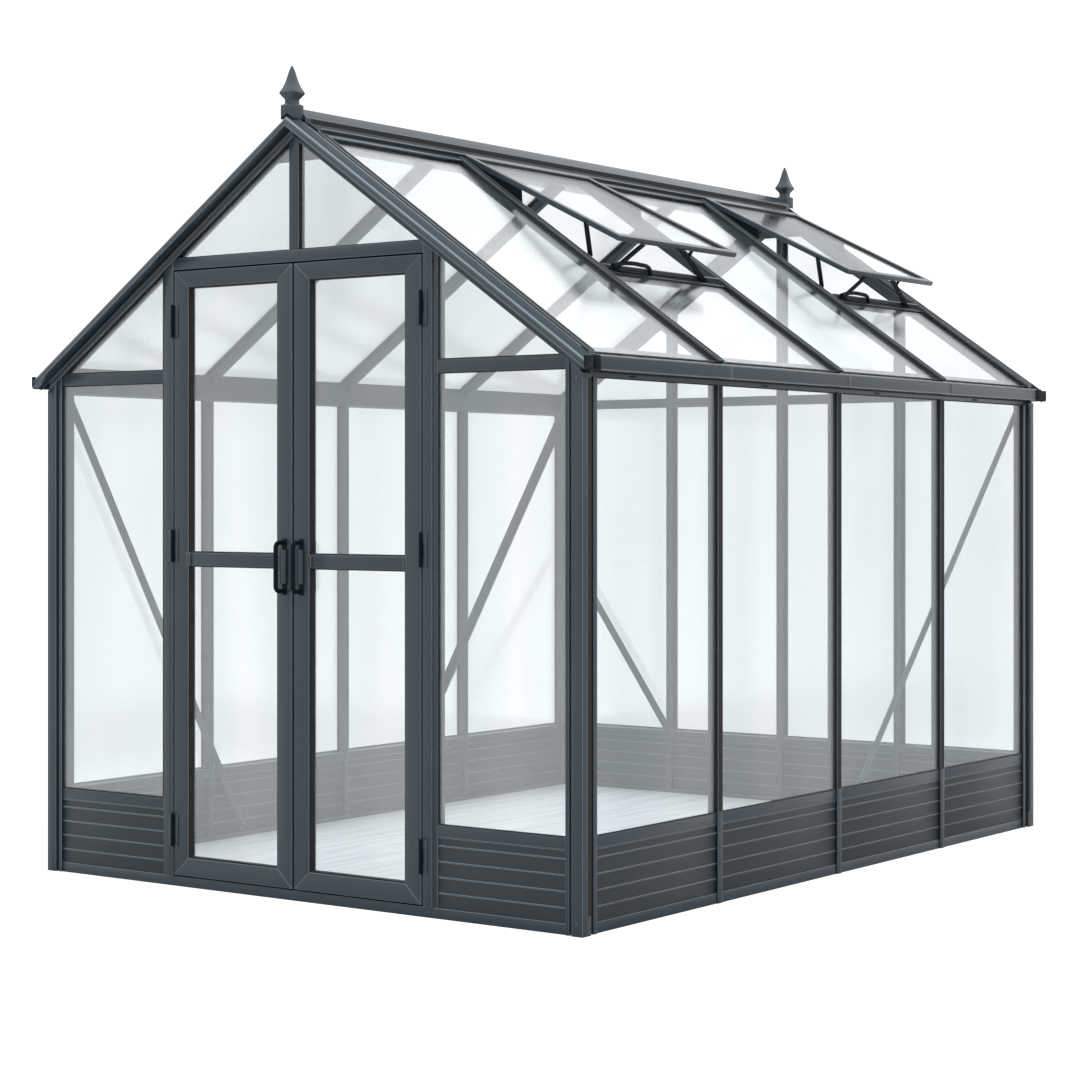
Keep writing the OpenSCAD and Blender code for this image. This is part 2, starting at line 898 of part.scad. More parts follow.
// A door leaf is drawn at the right of the opening, in the front wall's frame
module door_leaf_frame() {
    w = stile_w;
    difference() {
        union() {
            box(leaf_in, leaf_in + w, 0, leaf_t, leaf_low, leaf_top);
            box(leaf_out - w, leaf_out, 0, leaf_t, leaf_low, leaf_top);
            box(leaf_in, leaf_out, 0, leaf_t, leaf_low, leaf_low + door_rail_low);
            box(leaf_in, leaf_out, 0, leaf_t, leaf_top - door_rail_top, leaf_top);
        }
        for (x = [leaf_in, leaf_out]) {
            inwards = x == leaf_in ? 1 : -1;
            mitre_cut([x, leaf_low], [x + inwards * w, leaf_low + door_rail_low]);
            mitre_cut([x, leaf_top], [x + inwards * w, leaf_top - door_rail_top]);
        }
    }
    box(leaf_in + w + mitre_gap, leaf_out - w - mitre_gap, 3, leaf_t - 3,
        mid_rail_z - door_rail_mid / 2, mid_rail_z + door_rail_mid / 2);
}

// A hairline joint from the outer corner of a leaf to the inner corner
module mitre_cut(outer, inner) {
    saw_over = 10;
    run = inner - outer;
    translate([outer[0], 0, outer[1]])
        rotate([0, -atan2(run[1], run[0]), 0])
            box(-saw_over, norm(run) + 0.01, -saw_over, leaf_t + saw_over,
                -mitre_gap / 2, mitre_gap / 2);
}

module door_leaf_glass() {
    x0 = leaf_in + stile_w;
    x1 = leaf_out - stile_w;
    y0 = (leaf_t - glass_t) / 2;
    box(x0, x1, y0, y0 + glass_t, leaf_low + door_rail_low, mid_rail_z - door_rail_mid / 2);
    box(x0, x1, y0, y0 + glass_t, mid_rail_z + door_rail_mid / 2, leaf_top - door_rail_top);
}

// A round bar bent back at both ends to a plate on the meeting stile
module door_leaf_handle() {
    plate_t = 3;
    plate_half = 9;
    plate_over = 12;
    bend_r = 16;
    bar_r = handle_d / 2;
    x = leaf_in + stile_w / 2;
    low = handle_z - handle_h / 2 + bar_r;
    high = handle_z + handle_h / 2 - bar_r;
    bar_y = -handle_out + bar_r;
    box(x - plate_half, x + plate_half, -plate_t, 0, low - plate_over, high + plate_over);
    translate([x, bar_y, low + bend_r]) cylinder(h = high - low - 2 * bend_r, r = bar_r, $fn = 48);
    for (z = [low, high])
        translate([x, bar_y + bend_r, z]) rotate([-90, 0, 0])
            cylinder(h = -bar_y - bend_r - plate_t, r = bar_r, $fn = 48);
    translate([x, bar_y + bend_r, low + bend_r]) rotate([0, 90, 0]) rotate([0, 0, -90])
        rotate_extrude(angle = 90, $fn = 48) translate([bend_r, 0]) circle(bar_r);
    translate([x, bar_y + bend_r, high - bend_r]) rotate([0, 90, 0]) rotate([0, 0, 180])
        rotate_extrude(angle = 90, $fn = 48) translate([bend_r, 0]) circle(bar_r);
}

plate_w = 16;
plate_t = 2.5;
knuckle_gap = 0.5;

// The moving third of each hinge: the middle knuckle and the plate on the stile
module door_leaf_hinges() {
    third = hinge_h / 3;
    for (z = hinge_zs)
        translate([0, 0, z - hinge_h / 2]) {
            difference() {
                union() {
                    translate([axis_x, axis_y, third + knuckle_gap])
                        cylinder(h = third - 2 * knuckle_gap, r = knuckle_r, $fn = 48);
                    box(axis_x - knuckle_r - 1, axis_x, -plate_t, 0,
                        third + knuckle_gap, 2 * third - knuckle_gap);
                }
                translate([axis_x, axis_y, 0])
                    cylinder(h = hinge_h, r = pin_r + 0.05, $fn = 48);
            }
            box(axis_x - knuckle_r - 1 - plate_w, axis_x - knuckle_r - 1, -plate_t, 0,
                0, hinge_h);
        }
}

// The fixed part of each hinge: two knuckles, the pin and the plate on the jamb
module jamb_hinges() {
    third = hinge_h / 3;
    for (z = hinge_zs)
        translate([0, 0, z - hinge_h / 2]) {
            translate([axis_x, axis_y, 0]) cylinder(h = hinge_h, r = pin_r, $fn = 48);
            for (z0 = [0, 2 * third]) {
                translate([axis_x, axis_y, z0]) cylinder(h = third, r = knuckle_r, $fn = 48);
                box(axis_x, axis_x + knuckle_r + 1, -plate_t, 0, z0, z0 + third);
            }
            box(axis_x + knuckle_r + 1, axis_x + knuckle_r + 1 + plate_w, -plate_t, 0,
                0, hinge_h);
        }
}

module hinge_plates() {
    color(black) on_front() for (side = [0, 1]) mirror([side, 0, 0]) jamb_hinges();
}

module left_door_frame() { color(slate) on_front() mirror([1, 0, 0]) door_leaf_frame(); }

module left_door_glass() { color(clear) on_front() mirror([1, 0, 0]) door_leaf_glass(); }

module left_door_handle() { color(black) on_front() mirror([1, 0, 0]) door_leaf_handle(); }

module left_door_hinges() { color(black) on_front() mirror([1, 0, 0]) door_leaf_hinges(); }

module right_door_frame() { color(slate) on_front() door_leaf_frame(); }

module right_door_glass() { color(clear) on_front() door_leaf_glass(); }

module right_door_handle() { color(black) on_front() door_leaf_handle(); }

module right_door_hinges() { color(black) on_front() door_leaf_hinges(); }

base_rails();
front_boards();
back_boards();
left_boards();
right_boards();
sill_rails();
front_corner_posts();
back_corner_posts();
door_jambs();
door_header();
front_transoms();
front_king_post();
left_mullions();
right_mullions();
back_mullions();
back_transoms();
eaves_beams();
left_gutter();
right_gutter();
gutter_end_caps();
ridge();
left_rafters();
right_rafters();
vent_cross_bars();
front_verge();
back_verge();
apex_gussets();
front_finial();
back_finial();
front_glass();
back_glass();
left_glass();
right_glass();
left_roof_glass();
right_roof_glass();
vent_frames();
vent_glass();
vent_stays();
wall_braces();
floor();
hinge_plates();
left_door_frame();
left_door_glass();
left_door_handle();
left_door_hinges();
right_door_frame();
right_door_glass();
right_door_handle();
right_door_hinges();
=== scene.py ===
# %% [markdown]
# # The looks of a glass greenhouse
# The construction model gives the shapes, the sizes and what moves. This script adds what
# makes the house look real: softened edges on the extrusions, clip caps with raised lips,
# rubber seals round the glass, screws, and materials made of nodes. Every length is in
# metres, in the frame of the construction model: X runs across the door gable, Y from the
# doors to the back and Z up from the ground.

import bmesh
import bpy
import json
import math
from mathutils import Matrix, Vector


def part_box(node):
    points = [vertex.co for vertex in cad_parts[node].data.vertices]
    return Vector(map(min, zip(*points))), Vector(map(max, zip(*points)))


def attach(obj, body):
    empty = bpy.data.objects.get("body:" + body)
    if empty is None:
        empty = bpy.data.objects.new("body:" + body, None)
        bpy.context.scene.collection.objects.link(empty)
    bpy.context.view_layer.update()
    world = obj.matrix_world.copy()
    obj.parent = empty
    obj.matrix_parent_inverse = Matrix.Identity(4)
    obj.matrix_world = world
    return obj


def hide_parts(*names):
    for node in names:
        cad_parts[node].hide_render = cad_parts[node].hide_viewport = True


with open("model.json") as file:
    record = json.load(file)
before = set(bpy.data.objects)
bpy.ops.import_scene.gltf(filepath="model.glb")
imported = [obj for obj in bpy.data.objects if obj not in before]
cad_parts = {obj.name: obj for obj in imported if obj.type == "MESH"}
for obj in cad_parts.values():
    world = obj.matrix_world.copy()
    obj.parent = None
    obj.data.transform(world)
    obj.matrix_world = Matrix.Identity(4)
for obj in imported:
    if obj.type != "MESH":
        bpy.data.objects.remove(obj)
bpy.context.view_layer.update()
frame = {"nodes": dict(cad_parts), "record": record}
nodes = frame["nodes"]

# %% [markdown]
# ## Camera, light and ground
# The camera stands to the right of the doors at about eye height, with its axis level, so
# that upright posts stay upright in the picture. A small vertical shift lifts the roof into
# the frame instead of tilting the camera.

# %% Camera
view_yaw = math.radians(36.01)
camera_data = bpy.data.cameras.new("camera")
camera_data.sensor_width = 36
camera_data.lens = 83.68
camera_data.shift_y = -0.0424
camera = bpy.data.objects.new("camera", camera_data)
camera.location = (5.2121, -7.3643, 1.2662)
camera.rotation_euler = (math.pi / 2, 0, view_yaw)
bpy.context.scene.collection.objects.link(camera)
bpy.context.scene.camera = camera
print("camera", [round(c, 2) for c in camera.location])

# %% [markdown]
# A white studio. Behind the house the surround is pure white. What lights the house is the
# same white at lower strength, a little stronger from above, so that the grey metal keeps
# its depth. Two large soft lamps model the faces: one high at the left for the tops and
# the door gable, and one behind for the far walls, as seen through the glass.

# %% Light
def lamp(name, place, target, size, power):
    data = bpy.data.lights.new(name, "AREA")
    data.shape = "DISK"
    data.size = size
    data.energy = power
    obj = bpy.data.objects.new(name, data)
    obj.location = place
    obj.rotation_euler = (Vector(target) - Vector(place)).to_track_quat("-Z", "Y").to_euler()
    bpy.context.scene.collection.objects.link(obj)
    return obj


def studio_surround(backdrop, stops):
    """White behind the house; for its light, a white that fades from the top down.
    stops holds pairs of height, from 0 at the horizon to 1 overhead, and strength. The
    first two pairs are the ends, because a colour ramp starts with two stops."""
    world = bpy.data.worlds.new("white studio")
    world.use_nodes = True
    tree = world.node_tree
    tree.nodes.clear()
    made = {kind: tree.nodes.new("ShaderNode" + kind)
            for kind in ("TexCoord", "SeparateXYZ", "ValToRGB", "LightPath", "MixShader",
                         "OutputWorld")}
    behind, around = [tree.nodes.new("ShaderNodeBackground") for _ in range(2)]
    behind.inputs["Color"].default_value = (1, 1, 1, 1)
    behind.inputs["Strength"].default_value = backdrop
    ramp = made["ValToRGB"].color_ramp.elements
    for step, (height, strength) in enumerate(stops):
        stop = ramp[step] if step < 2 else ramp.new(height)
        stop.position = height
        stop.color = (strength * 0.98, strength * 0.99, strength, 1)
    link = tree.links.new
    link(made["TexCoord"].outputs["Generated"], made["SeparateXYZ"].inputs[0])
    link(made["SeparateXYZ"].outputs["Z"], made["ValToRGB"].inputs[0])
    link(made["ValToRGB"].outputs[0], around.inputs["Color"])
    link(made["LightPath"].outputs["Is Camera Ray"], made["MixShader"].inputs[0])
    link(around.outputs[0], made["MixShader"].inputs[1])
    link(behind.outputs[0], made["MixShader"].inputs[2])
    link(made["MixShader"].outputs[0], made["OutputWorld"].inputs[0])
    return world


bpy.context.scene.world = studio_surround(
    1.25, [(0.0, 0.95), (1.0, 2.8), (0.10, 1.05), (0.30, 1.2)])
bpy.context.scene.view_settings.view_transform = "Standard"
lamp_width = 3.0
for name, place, target, power in (("key lamp", (-3.5, -6.5, 6.5), (0, -1, 1), 120),
                                   ("back lamp", (-4.0, 6.5, 4.5), (0, 1, 1), 60)):
    lamp(name, place, target, lamp_width, power).visible_glossy = False
print("2 lamps and a white surround")

# %% Ground
bpy.ops.object.select_all(action="DESELECT")
ground_width, ground_drop = 60, 0.0005
bpy.ops.mesh.primitive_plane_add(size=ground_width, location=(0, 0, -ground_drop))
ground = bpy.context.object
ground.name = "ground"
print("ground", ground.dimensions.x, "m wide")

# %% [markdown]
# ## Materials
# One function turns a hex colour as a screen shows it into the linear values that the
# shaders work in, and one adds a node with its settings and links.

# %% Helpers for materials
def linear(hex_code):
    channels = [int(hex_code[i:i + 2], 16) / 255 for i in (1, 3, 5)]
    return [c / 12.92 if c <= 0.04045 else ((c + 0.055) / 1.055) ** 2.4
            for c in channels] + [1]


def add(tree, kind, settings=None, **sockets):
    """Adds a node; a socket takes a number, a colour or another node's output."""
    node = tree.nodes.new(kind)
    for key, value in (settings or {}).items():
        setattr(node, key, value)
    for key, value in sockets.items():
        target = node.inputs[int(key[1:]) if key[1:].isdigit() else key.replace("_", " ")]
        if isinstance(value, bpy.types.NodeSocket):
            tree.links.new(value, target)
        else:
            target.default_value = value
    return node


def new_material(name):
    material = bpy.data.materials.new(name)
    material.use_nodes = True
    tree = material.node_tree
    tree.nodes.clear()
    return material, tree


# %% [markdown]
# ### Powder-coated aluminium
# The bars are extruded aluminium with a baked-on polyester powder in slate grey. The powder
# melts into a satin film with a fine grain, about 1 mm from crest to crest, so the colour is
# even and the highlights are soft. A broad faint cloudiness stands for handling and dust.
# The grain is drawn at 2.5 mm, because 1 mm would be too fine to show. Along every edge a
# paler, smoother copy of the coat is put on: a painted highlight for the light that the
# rounded edges catch.
# The tops of the verge covers, which lie open to the weather, have dulled to a matt coat.

# %% Powder coats
def powder_coat(name, colour, shade, grain_mm, grain_depth_mm, rough, shine=0.4,
                shine_tint="#ffffff"):
    material, tree = new_material(name)
    place = add(tree, "ShaderNodeTexCoord").outputs["Object"]
    cloud = add(tree, "ShaderNodeTexNoise", Vector=place, Scale=3.5, Detail=3.0)
    tint = add(tree, "ShaderNodeMix", {"data_type": "RGBA"}, _0=cloud.outputs["Fac"],
               _6=linear(shade), _7=linear(colour))
    grain = add(tree, "ShaderNodeTexNoise", Vector=place, Scale=1000 / grain_mm, Detail=2.0)
    satin = add(tree, "ShaderNodeMapRange", Value=cloud.outputs["Fac"],
                To_Min=rough - 0.05, To_Max=rough + 0.06)
    bump = add(tree, "ShaderNodeBump", Height=grain.outputs["Fac"], Strength=0.3,
               Distance=grain_depth_mm / 1000)
    coat = add(tree, "ShaderNodeBsdfPrincipled", Base_Color=tint.outputs[2],
               Roughness=satin.outputs[0], Specular_IOR_Level=shine,
               Specular_Tint=linear(shine_tint), Normal=bump.outputs[0])
    add(tree, "ShaderNodeOutputMaterial", Surface=coat.outputs[0])
    return material


slate_coat = powder_coat("powder-coated aluminium", "#28333a", "#232d33", 2.5, 0.05, 0.30)
# Paler, smoother copies of the coats for the bevels along every edge: painted highlights.
slate_highlight_coat = powder_coat("slate coat with painted edge highlight", "#6d777e", "#566067", 2.5, 0.05, 0.24)
board_coat = powder_coat("powder-coated aluminium board", "#242d32", "#1d252a", 2.5, 0.05,
                         0.42)
board_highlight_coat = powder_coat("board coat with painted edge highlight", "#88929a", "#6c767d", 2.5, 0.05, 0.24)
# For each coat, its paler copy that paints the highlight on the edges.
highlight_coat_of = {slate_coat.name: slate_highlight_coat, board_coat.name: board_highlight_coat}
black_coat = powder_coat("black powder-coated steel", "#0d1215", "#080c0f", 2.0, 0.04, 0.60,
                         0.2, "#8fb0c4")
cap_coat = powder_coat("matt powder-coated aluminium", "#2d3940", "#27323a", 2.5, 0.05, 0.75,
                       0.2)
print("powder coats:", slate_coat.name, board_coat.name, black_coat.name, cap_coat.name)

# %% [markdown]
# ### Rubber and steel
# The seals that hold the glass are EPDM rubber: black, matt, with a slightly uneven skin.
# The screws are stainless steel, which is brushed by the tool that drove them.

# %% Seal rubber
seal_rubber, tree = new_material("EPDM rubber")
place = add(tree, "ShaderNodeTexCoord").outputs["Object"]
skin = add(tree, "ShaderNodeTexNoise", Vector=place, Scale=400.0, Detail=2.0)
tone = add(tree, "ShaderNodeMix", {"data_type": "RGBA"}, _0=skin.outputs["Fac"],
           _6=linear("#0a0b0c"), _7=linear("#16181a"))
uneven = add(tree, "ShaderNodeBump", Height=skin.outputs["Fac"], Strength=0.3,
             Distance=0.0001)
rubber = add(tree, "ShaderNodeBsdfPrincipled", Base_Color=tone.outputs[2], Roughness=0.62,
             Specular_IOR_Level=0.3, Normal=uneven.outputs[0])
add(tree, "ShaderNodeOutputMaterial", Surface=rubber.outputs[0])
print("seals:", seal_rubber.name)

# %% Screw steel
screw_steel, tree = new_material("stainless steel")
place = add(tree, "ShaderNodeTexCoord").outputs["Object"]
wear = add(tree, "ShaderNodeTexNoise", Vector=place, Scale=600.0, Detail=3.0)
tone = add(tree, "ShaderNodeMix", {"data_type": "RGBA"}, _0=wear.outputs["Fac"],
           _6=linear("#3d4246"), _7=linear("#7a8084"))
dull = add(tree, "ShaderNodeMapRange", Value=wear.outputs["Fac"], To_Min=0.22, To_Max=0.45)
marks = add(tree, "ShaderNodeBump", Height=wear.outputs["Fac"], Strength=0.2,
            Distance=0.00005)
steel = add(tree, "ShaderNodeBsdfPrincipled", Base_Color=tone.outputs[2], Metallic=1.0,
            Roughness=dull.outputs[0], Normal=marks.outputs[0])
add(tree, "ShaderNodeOutputMaterial", Surface=steel.outputs[0])
print("screws:", screw_steel.name)

# %% [markdown]
# ### Toughened glass
# Four millimetre toughened glass is clear, but it always mirrors some of the white sky around
# it, and what lies behind it looks paler. A mix of a see-through shader and a mirror gives
# that, lets the light of the lamps through, and keeps what is behind in place. Real glass
# mirrors more the flatter it is looked along, but a steady share is calmer to look through.
# Broad faint streaks run over the panes: upright ones on the walls and slanting ones on the
# roof. They tint the clear part, roughen the mirror a little and make it mirror more in some
# bands than in others; those bands are painted reflections.

# %% Toughened glass
def pane_glass(name, share, mirror_tint, turn, stretch):
    material, tree = new_material(name)
    place = add(tree, "ShaderNodeTexCoord").outputs["Object"]
    turned = add(tree, "ShaderNodeMapping", Vector=place, Rotation=turn, Scale=stretch)
    streak = add(tree, "ShaderNodeTexNoise", Vector=turned.outputs[0], Scale=1.0, Detail=2.0)
    patch = add(tree, "ShaderNodeMix", {"data_type": "RGBA"}, _0=streak.outputs["Fac"],
                _6=linear("#f6f9fa"), _7=linear("#ffffff"))
    clear = add(tree, "ShaderNodeBsdfTransparent", Color=patch.outputs[2])
    # The mirror's colour follows the streaks, so the reflection is brighter in bands: painted
    # reflection.
    film = add(tree, "ShaderNodeMix", {"data_type": "RGBA"}, _0=streak.outputs["Fac"],
               _6=linear(mirror_tint), _7=linear("#ffffff"))
    haze = add(tree, "ShaderNodeMapRange", Value=streak.outputs["Fac"], To_Min=0.20,
               To_Max=0.08)
    mirror = add(tree, "ShaderNodeBsdfPrincipled", Base_Color=film.outputs[2], Metallic=1.0,
                 Roughness=haze.outputs[0])
    mixed = add(tree, "ShaderNodeMixShader", _0=share, _1=clear.outputs[0],
                _2=mirror.outputs[0])
    add(tree, "ShaderNodeOutputMaterial", Surface=mixed.outputs[0])
    return material


wall_glass = pane_glass("toughened wall glass", 0.17, "#d0dadd", (0, 0, 0.3),
                        (3.0, 3.0, 0.25))
roof_glass = pane_glass("toughened roof glass", 0.27, "#b0b8bb", (0.5, 0.2, 0.5),
                        (0.9, 2.2, 0.9))
print("glass:", wall_glass.name, roof_glass.name)

# %% [markdown]
# ### Floor panels
# Pale moulded floor panels with a faint drag in the surface, like limed wood. The drag runs
# in streaks about 30 mm apart and 500 mm long, from the doors to the back.

# %% Floor panels
floor_panel, tree = new_material("pale floor panel")
place = add(tree, "ShaderNodeTexCoord").outputs["Object"]
drawn = add(tree, "ShaderNodeMapping", Vector=place, Scale=(35, 2.0, 1))
drag = add(tree, "ShaderNodeTexNoise", Vector=drawn.outputs[0], Scale=1.0, Detail=4.0)
marked = add(tree, "ShaderNodeMapRange", Value=drag.outputs["Fac"], From_Min=0.30,
             From_Max=0.62)
tone = add(tree, "ShaderNodeMix", {"data_type": "RGBA"}, _0=marked.outputs[0],
           _6=linear("#a4aaad"), _7=linear("#c3c7c9"))
relief = add(tree, "ShaderNodeBump", Height=drag.outputs["Fac"], Strength=0.2,
             Distance=0.0004)
panel = add(tree, "ShaderNodeBsdfPrincipled", Base_Color=tone.outputs[2], Roughness=0.5,
            Normal=relief.outputs[0])
add(tree, "ShaderNodeOutputMaterial", Surface=panel.outputs[0])
print("floor:", floor_panel.name)

# %% [markdown]
# ### Studio ground
# The ground is to look as white as the surround, so that no horizon shows through the
# glass, but to throw only a moderate light upwards. So the camera sees a floor that glows a
# little, and all other rays see a plain pale paint.

# %% Studio ground
studio_white, tree = new_material("studio floor paint")
paint = add(tree, "ShaderNodeBsdfDiffuse", Color=linear("#bcbcbc"))
lit_paint = add(tree, "ShaderNodeBsdfPrincipled", Base_Color=linear("#5a5a5a"),
                Roughness=1.0, Specular_IOR_Level=0.0, Emission_Color=linear("#ffffff"),
                Emission_Strength=1.04)
ray = add(tree, "ShaderNodeLightPath")
seen = add(tree, "ShaderNodeMixShader", _0=ray.outputs["Is Camera Ray"],
           _1=paint.outputs[0], _2=lit_paint.outputs[0])
add(tree, "ShaderNodeOutputMaterial", Surface=seen.outputs[0])
ground.data.materials.append(studio_white)
print("ground:", studio_white.name)

# %% [markdown]
# ## Extrusions with softened edges
# A real extrusion has corner radii of about a millimetre, and they catch the light as the
# thin bright lines that show on every bar. The construction model has sharp corners, so each
# bar is copied, its loose triangles are merged into clean faces, and a small bevel is put on
# every edge. The bevel faces take a paler coat, a painted highlight that makes those lines
# brighter. The copy then stands for the construction node.

# %% Helpers for pieces
body_of = {name: body for body, names in frame["record"]["behaviour"]["bodies"].items()
           for name in names}


def only(obj):
    bpy.ops.object.select_all(action="DESELECT")
    obj.select_set(True)
    bpy.context.view_layer.objects.active = obj


def edit(obj):
    only(obj)
    bpy.ops.object.mode_set(mode="EDIT")
    bpy.ops.mesh.select_mode(type="FACE")
    bpy.ops.mesh.select_all(action="SELECT")


def done():
    bpy.ops.object.mode_set(mode="OBJECT")


def pick(obj, test):
    """Selects the faces whose centre and normal pass the test."""
    bpy.ops.mesh.select_all(action="DESELECT")
    mesh = bmesh.from_edit_mesh(obj.data)
    for face in mesh.faces:
        if test(face.calc_center_median(), face.normal):
            face.select_set(True)
    bmesh.update_edit_mesh(obj.data)


def pick_edges(obj, test):
    """Selects the edges whose middle and direction pass the test."""
    bpy.ops.mesh.select_mode(type="EDGE")
    bpy.ops.mesh.select_all(action="DESELECT")
    mesh = bmesh.from_edit_mesh(obj.data)
    for edge in mesh.edges:
        start, end = (vert.co for vert in edge.verts)
        if test((start + end) / 2, (end - start).normalized()):
            edge.select_set(True)
    bmesh.update_edit_mesh(obj.data)


def apply_modifier(obj, kind, **settings):
    modifier = obj.modifiers.new(kind.lower(), kind)
    for key, value in settings.items():
        setattr(modifier, key, value)
    only(obj)
    bpy.ops.object.modifier_apply(modifier=modifier.name)


def soften(piece, radius, segments=2):
    """Bevels all edges; the bevel faces take the second material, the paler coat that paints
    a highlight on the edges.
    """
    while len(piece.data.materials) < 2:
        piece.data.materials.append((slate_coat, slate_highlight_coat)[len(piece.data.materials)])
    apply_modifier(piece, "BEVEL", width=radius, segments=segments, limit_method="ANGLE",
                   angle_limit=math.radians(28), use_clamp_overlap=False, material=1)
    return piece


def dress(piece, material, body="house"):
    """Gives a piece its coat, and on its edges the paler copy of it that paints a highlight,
    if there is one.
    """
    only(piece)
    bpy.ops.object.shade_smooth_by_angle(angle=math.radians(40))
    if material.name in highlight_coat_of and len(piece.data.materials) == 2:
        piece.data.materials[0] = material
        piece.data.materials[1] = highlight_coat_of[material.name]
    else:
        piece.data.materials.clear()
        piece.data.materials.append(material)
    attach(piece, body)
    return piece


def clean_copy(name):
    """A copy of a node's mesh with its loose triangles merged into whole faces."""
    piece = bpy.data.objects.new(name + "_softened", nodes[name].data.copy())
    bpy.context.scene.collection.objects.link(piece)
    edit(piece)
    bpy.ops.mesh.remove_doubles(threshold=0.00001)
    bpy.ops.mesh.dissolve_limited(angle_limit=math.radians(1))
    done()
    return piece


def softened(name, radius, material, highlight_edges=True):
    piece = soften(clean_copy(name), radius)
    # Pieces that need no painted highlight on their edges keep a single coat.
    if not highlight_edges:
        piece.data.materials.clear()
    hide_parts(name)
    return dress(piece, material, body_of[name])


# %% Soften the bars
bar_radius = 0.0009
bar_nodes = ["base_rails", "sill_rails", "front_corner_posts", "back_corner_posts",
             "door_jambs", "door_header", "front_transoms", "front_king_post",
             "left_mullions", "right_mullions", "back_mullions", "back_transoms",
             "eaves_beams", "left_gutter", "right_gutter",
             "left_rafters", "right_rafters", "vent_cross_bars", "apex_gussets",
             "vent_frames", "wall_braces", "left_door_frame", "right_door_frame"]
for name in bar_nodes:
    softened(name, bar_radius, slate_coat)
softened("gutter_end_caps", 0.0035, black_coat)
print(len(bar_nodes), "bars softened")

# %% [markdown]
# ## Strips, seals and screws
# Three kinds of small piece repeat all over the house. A strip is a long block, sometimes
# with a groove let into one side between two lips. A seal is a rubber ring that lies on the
# glass and shows a few millimetres beside the metal. A screw has a round head with softened
# edges and a round socket let into its top. Each is shaped by hand from a cube or a cylinder.

# %% Helpers for strips
def block(name, low, high):
    bpy.ops.object.select_all(action="DESELECT")
    low, high = Vector(low), Vector(high)
    bpy.ops.mesh.primitive_cube_add(size=1, location=(low + high) / 2)
    piece = bpy.context.object
    piece.name = name
    piece.scale = high - low
    bpy.ops.object.transform_apply(location=True, rotation=True, scale=True)
    return piece


def channel(name, low, high, up, lip, depth):
    """A block with a groove let into the side that up points out of."""
    piece = block(name, low, high)
    edit(piece)
    pick(piece, lambda centre, normal: normal.dot(Vector(up)) > 0.9)
    bpy.ops.mesh.inset(thickness=lip, depth=0)
    bpy.ops.mesh.extrude_region_shrink_fatten(TRANSFORM_OT_shrink_fatten={"value": -depth})
    done()
    return piece


def cut(piece, point, outward):
    """Cuts off what lies outside a plane and closes the cut."""
    edit(piece)
    bpy.ops.mesh.bisect(plane_co=point, plane_no=outward, use_fill=True, clear_outer=True)
    done()
    return piece


def ring(name, low, high, axis, width, cuts=()):
    """A flat block, trimmed by planes, with its middle taken out."""
    piece = block(name, low, high)
    for point, outward in cuts:
        cut(piece, point, outward)
    edit(piece)
    pick(piece, lambda centre, normal: abs(normal.dot(Vector(axis))) > 0.9)
    bpy.ops.mesh.inset(thickness=width, depth=0, use_individual=True)
    bpy.ops.mesh.delete(type="FACE")
    bpy.ops.mesh.select_mode(type="EDGE")
    bpy.ops.mesh.select_non_manifold()
    bpy.ops.mesh.bridge_edge_loops()
    bpy.ops.mesh.select_all(action="SELECT")
    bpy.ops.mesh.normals_make_consistent(inside=False)
    done()
    return piece


def copied(piece, shift=(0, 0, 0), flip=(1, 1, 1)):
    """A moved or mirrored copy with its own mesh."""
    only(piece)
    bpy.ops.object.duplicate()
    twin = bpy.context.object
    twin.location = shift
    twin.scale = flip
    bpy.ops.object.transform_apply(location=True, rotation=True, scale=True)
    if flip[0] * flip[1] * flip[2] < 0:
        edit(twin)
        bpy.ops.mesh.normals_make_consistent(inside=False)
        done()
    return twin


def mirrored(piece, name):
    """The same piece for the other side of the house."""
    twin = copied(piece, flip=(-1, 1, 1))
    twin.name = name
    return twin


def joined(pieces, name):
    bpy.ops.object.select_all(action="DESELECT")
    for piece in pieces:
        piece.select_set(True)
    bpy.context.view_layer.objects.active = pieces[0]
    if len(pieces) > 1:
        bpy.ops.object.join()
    pieces[0].name = name
    return pieces[0]


# %% The roof's own frame
ridge_rise = 0.022
roof_rise = 0.764
roof_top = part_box("ridge")[1].z - ridge_rise
half_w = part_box("front_corner_posts")[1].x
half_l = -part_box("front_corner_posts")[0].y
slope = math.atan2(roof_rise, half_w)
slope_place = Matrix.Translation((0, 0, roof_top)) @ Matrix.Rotation(slope, 4, "Y")


def onto_roof(piece):
    """Lays a piece, drawn flat with x down the slope, on the right roof slope."""
    only(piece)
    piece.matrix_world = slope_place
    bpy.ops.object.transform_apply(location=True, rotation=True, scale=True)
    return piece


def roof_plane(depth):
    """Cutting plane that lies at a depth under the right slope."""
    up = Vector((math.sin(slope), 0, math.cos(slope)))
    return Vector((0, 0, roof_top)) - up * depth, up


print("slope", round(math.degrees(slope), 2), "roof top", round(roof_top, 3))

# %% [markdown]
# ## Boards
# The base panels are stacks of hollow planks. Each plank has a narrow raised rib along its
# upper edge, on the outside and on the inside alike. The top of the rib faces the sky, so
# that each joint shows as a thin bright line with a soft shadow under it; the paler coat on
# the softened edges of the rib adds a painted highlight to that line.

# %% Where the wall bays are
side_bays = 4
bay = 2 * half_l / side_bays
bar_ys = (-bay, 0, bay)
post_end_side = 0.080
post_end_gable = 0.063
box_half = 0.011
cap_half = 0.014
king_half = 0.020
jamb_leg_end = 0.567
mid_post = 0.534
side_stops = [(-half_l + post_end_side, -bay - box_half), (-bay + box_half, -box_half),
              (box_half, bay - box_half), (bay + box_half, half_l - post_end_side)]
back_stops = [(box_half, mid_post - box_half), (mid_post + box_half, half_w - post_end_gable)]
front_stops = [(jamb_leg_end, half_w - post_end_gable)]
print("bays along a side:", len(side_stops), "bay length", bay)

# %% Stack the planks
plank_low, plank_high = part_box("right_boards")[0].z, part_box("right_boards")[1].z
plank_pitch = 0.047
board_out, board_in = 0.012, 0.026
rib_height, rib_out = 0.0036, 0.0016


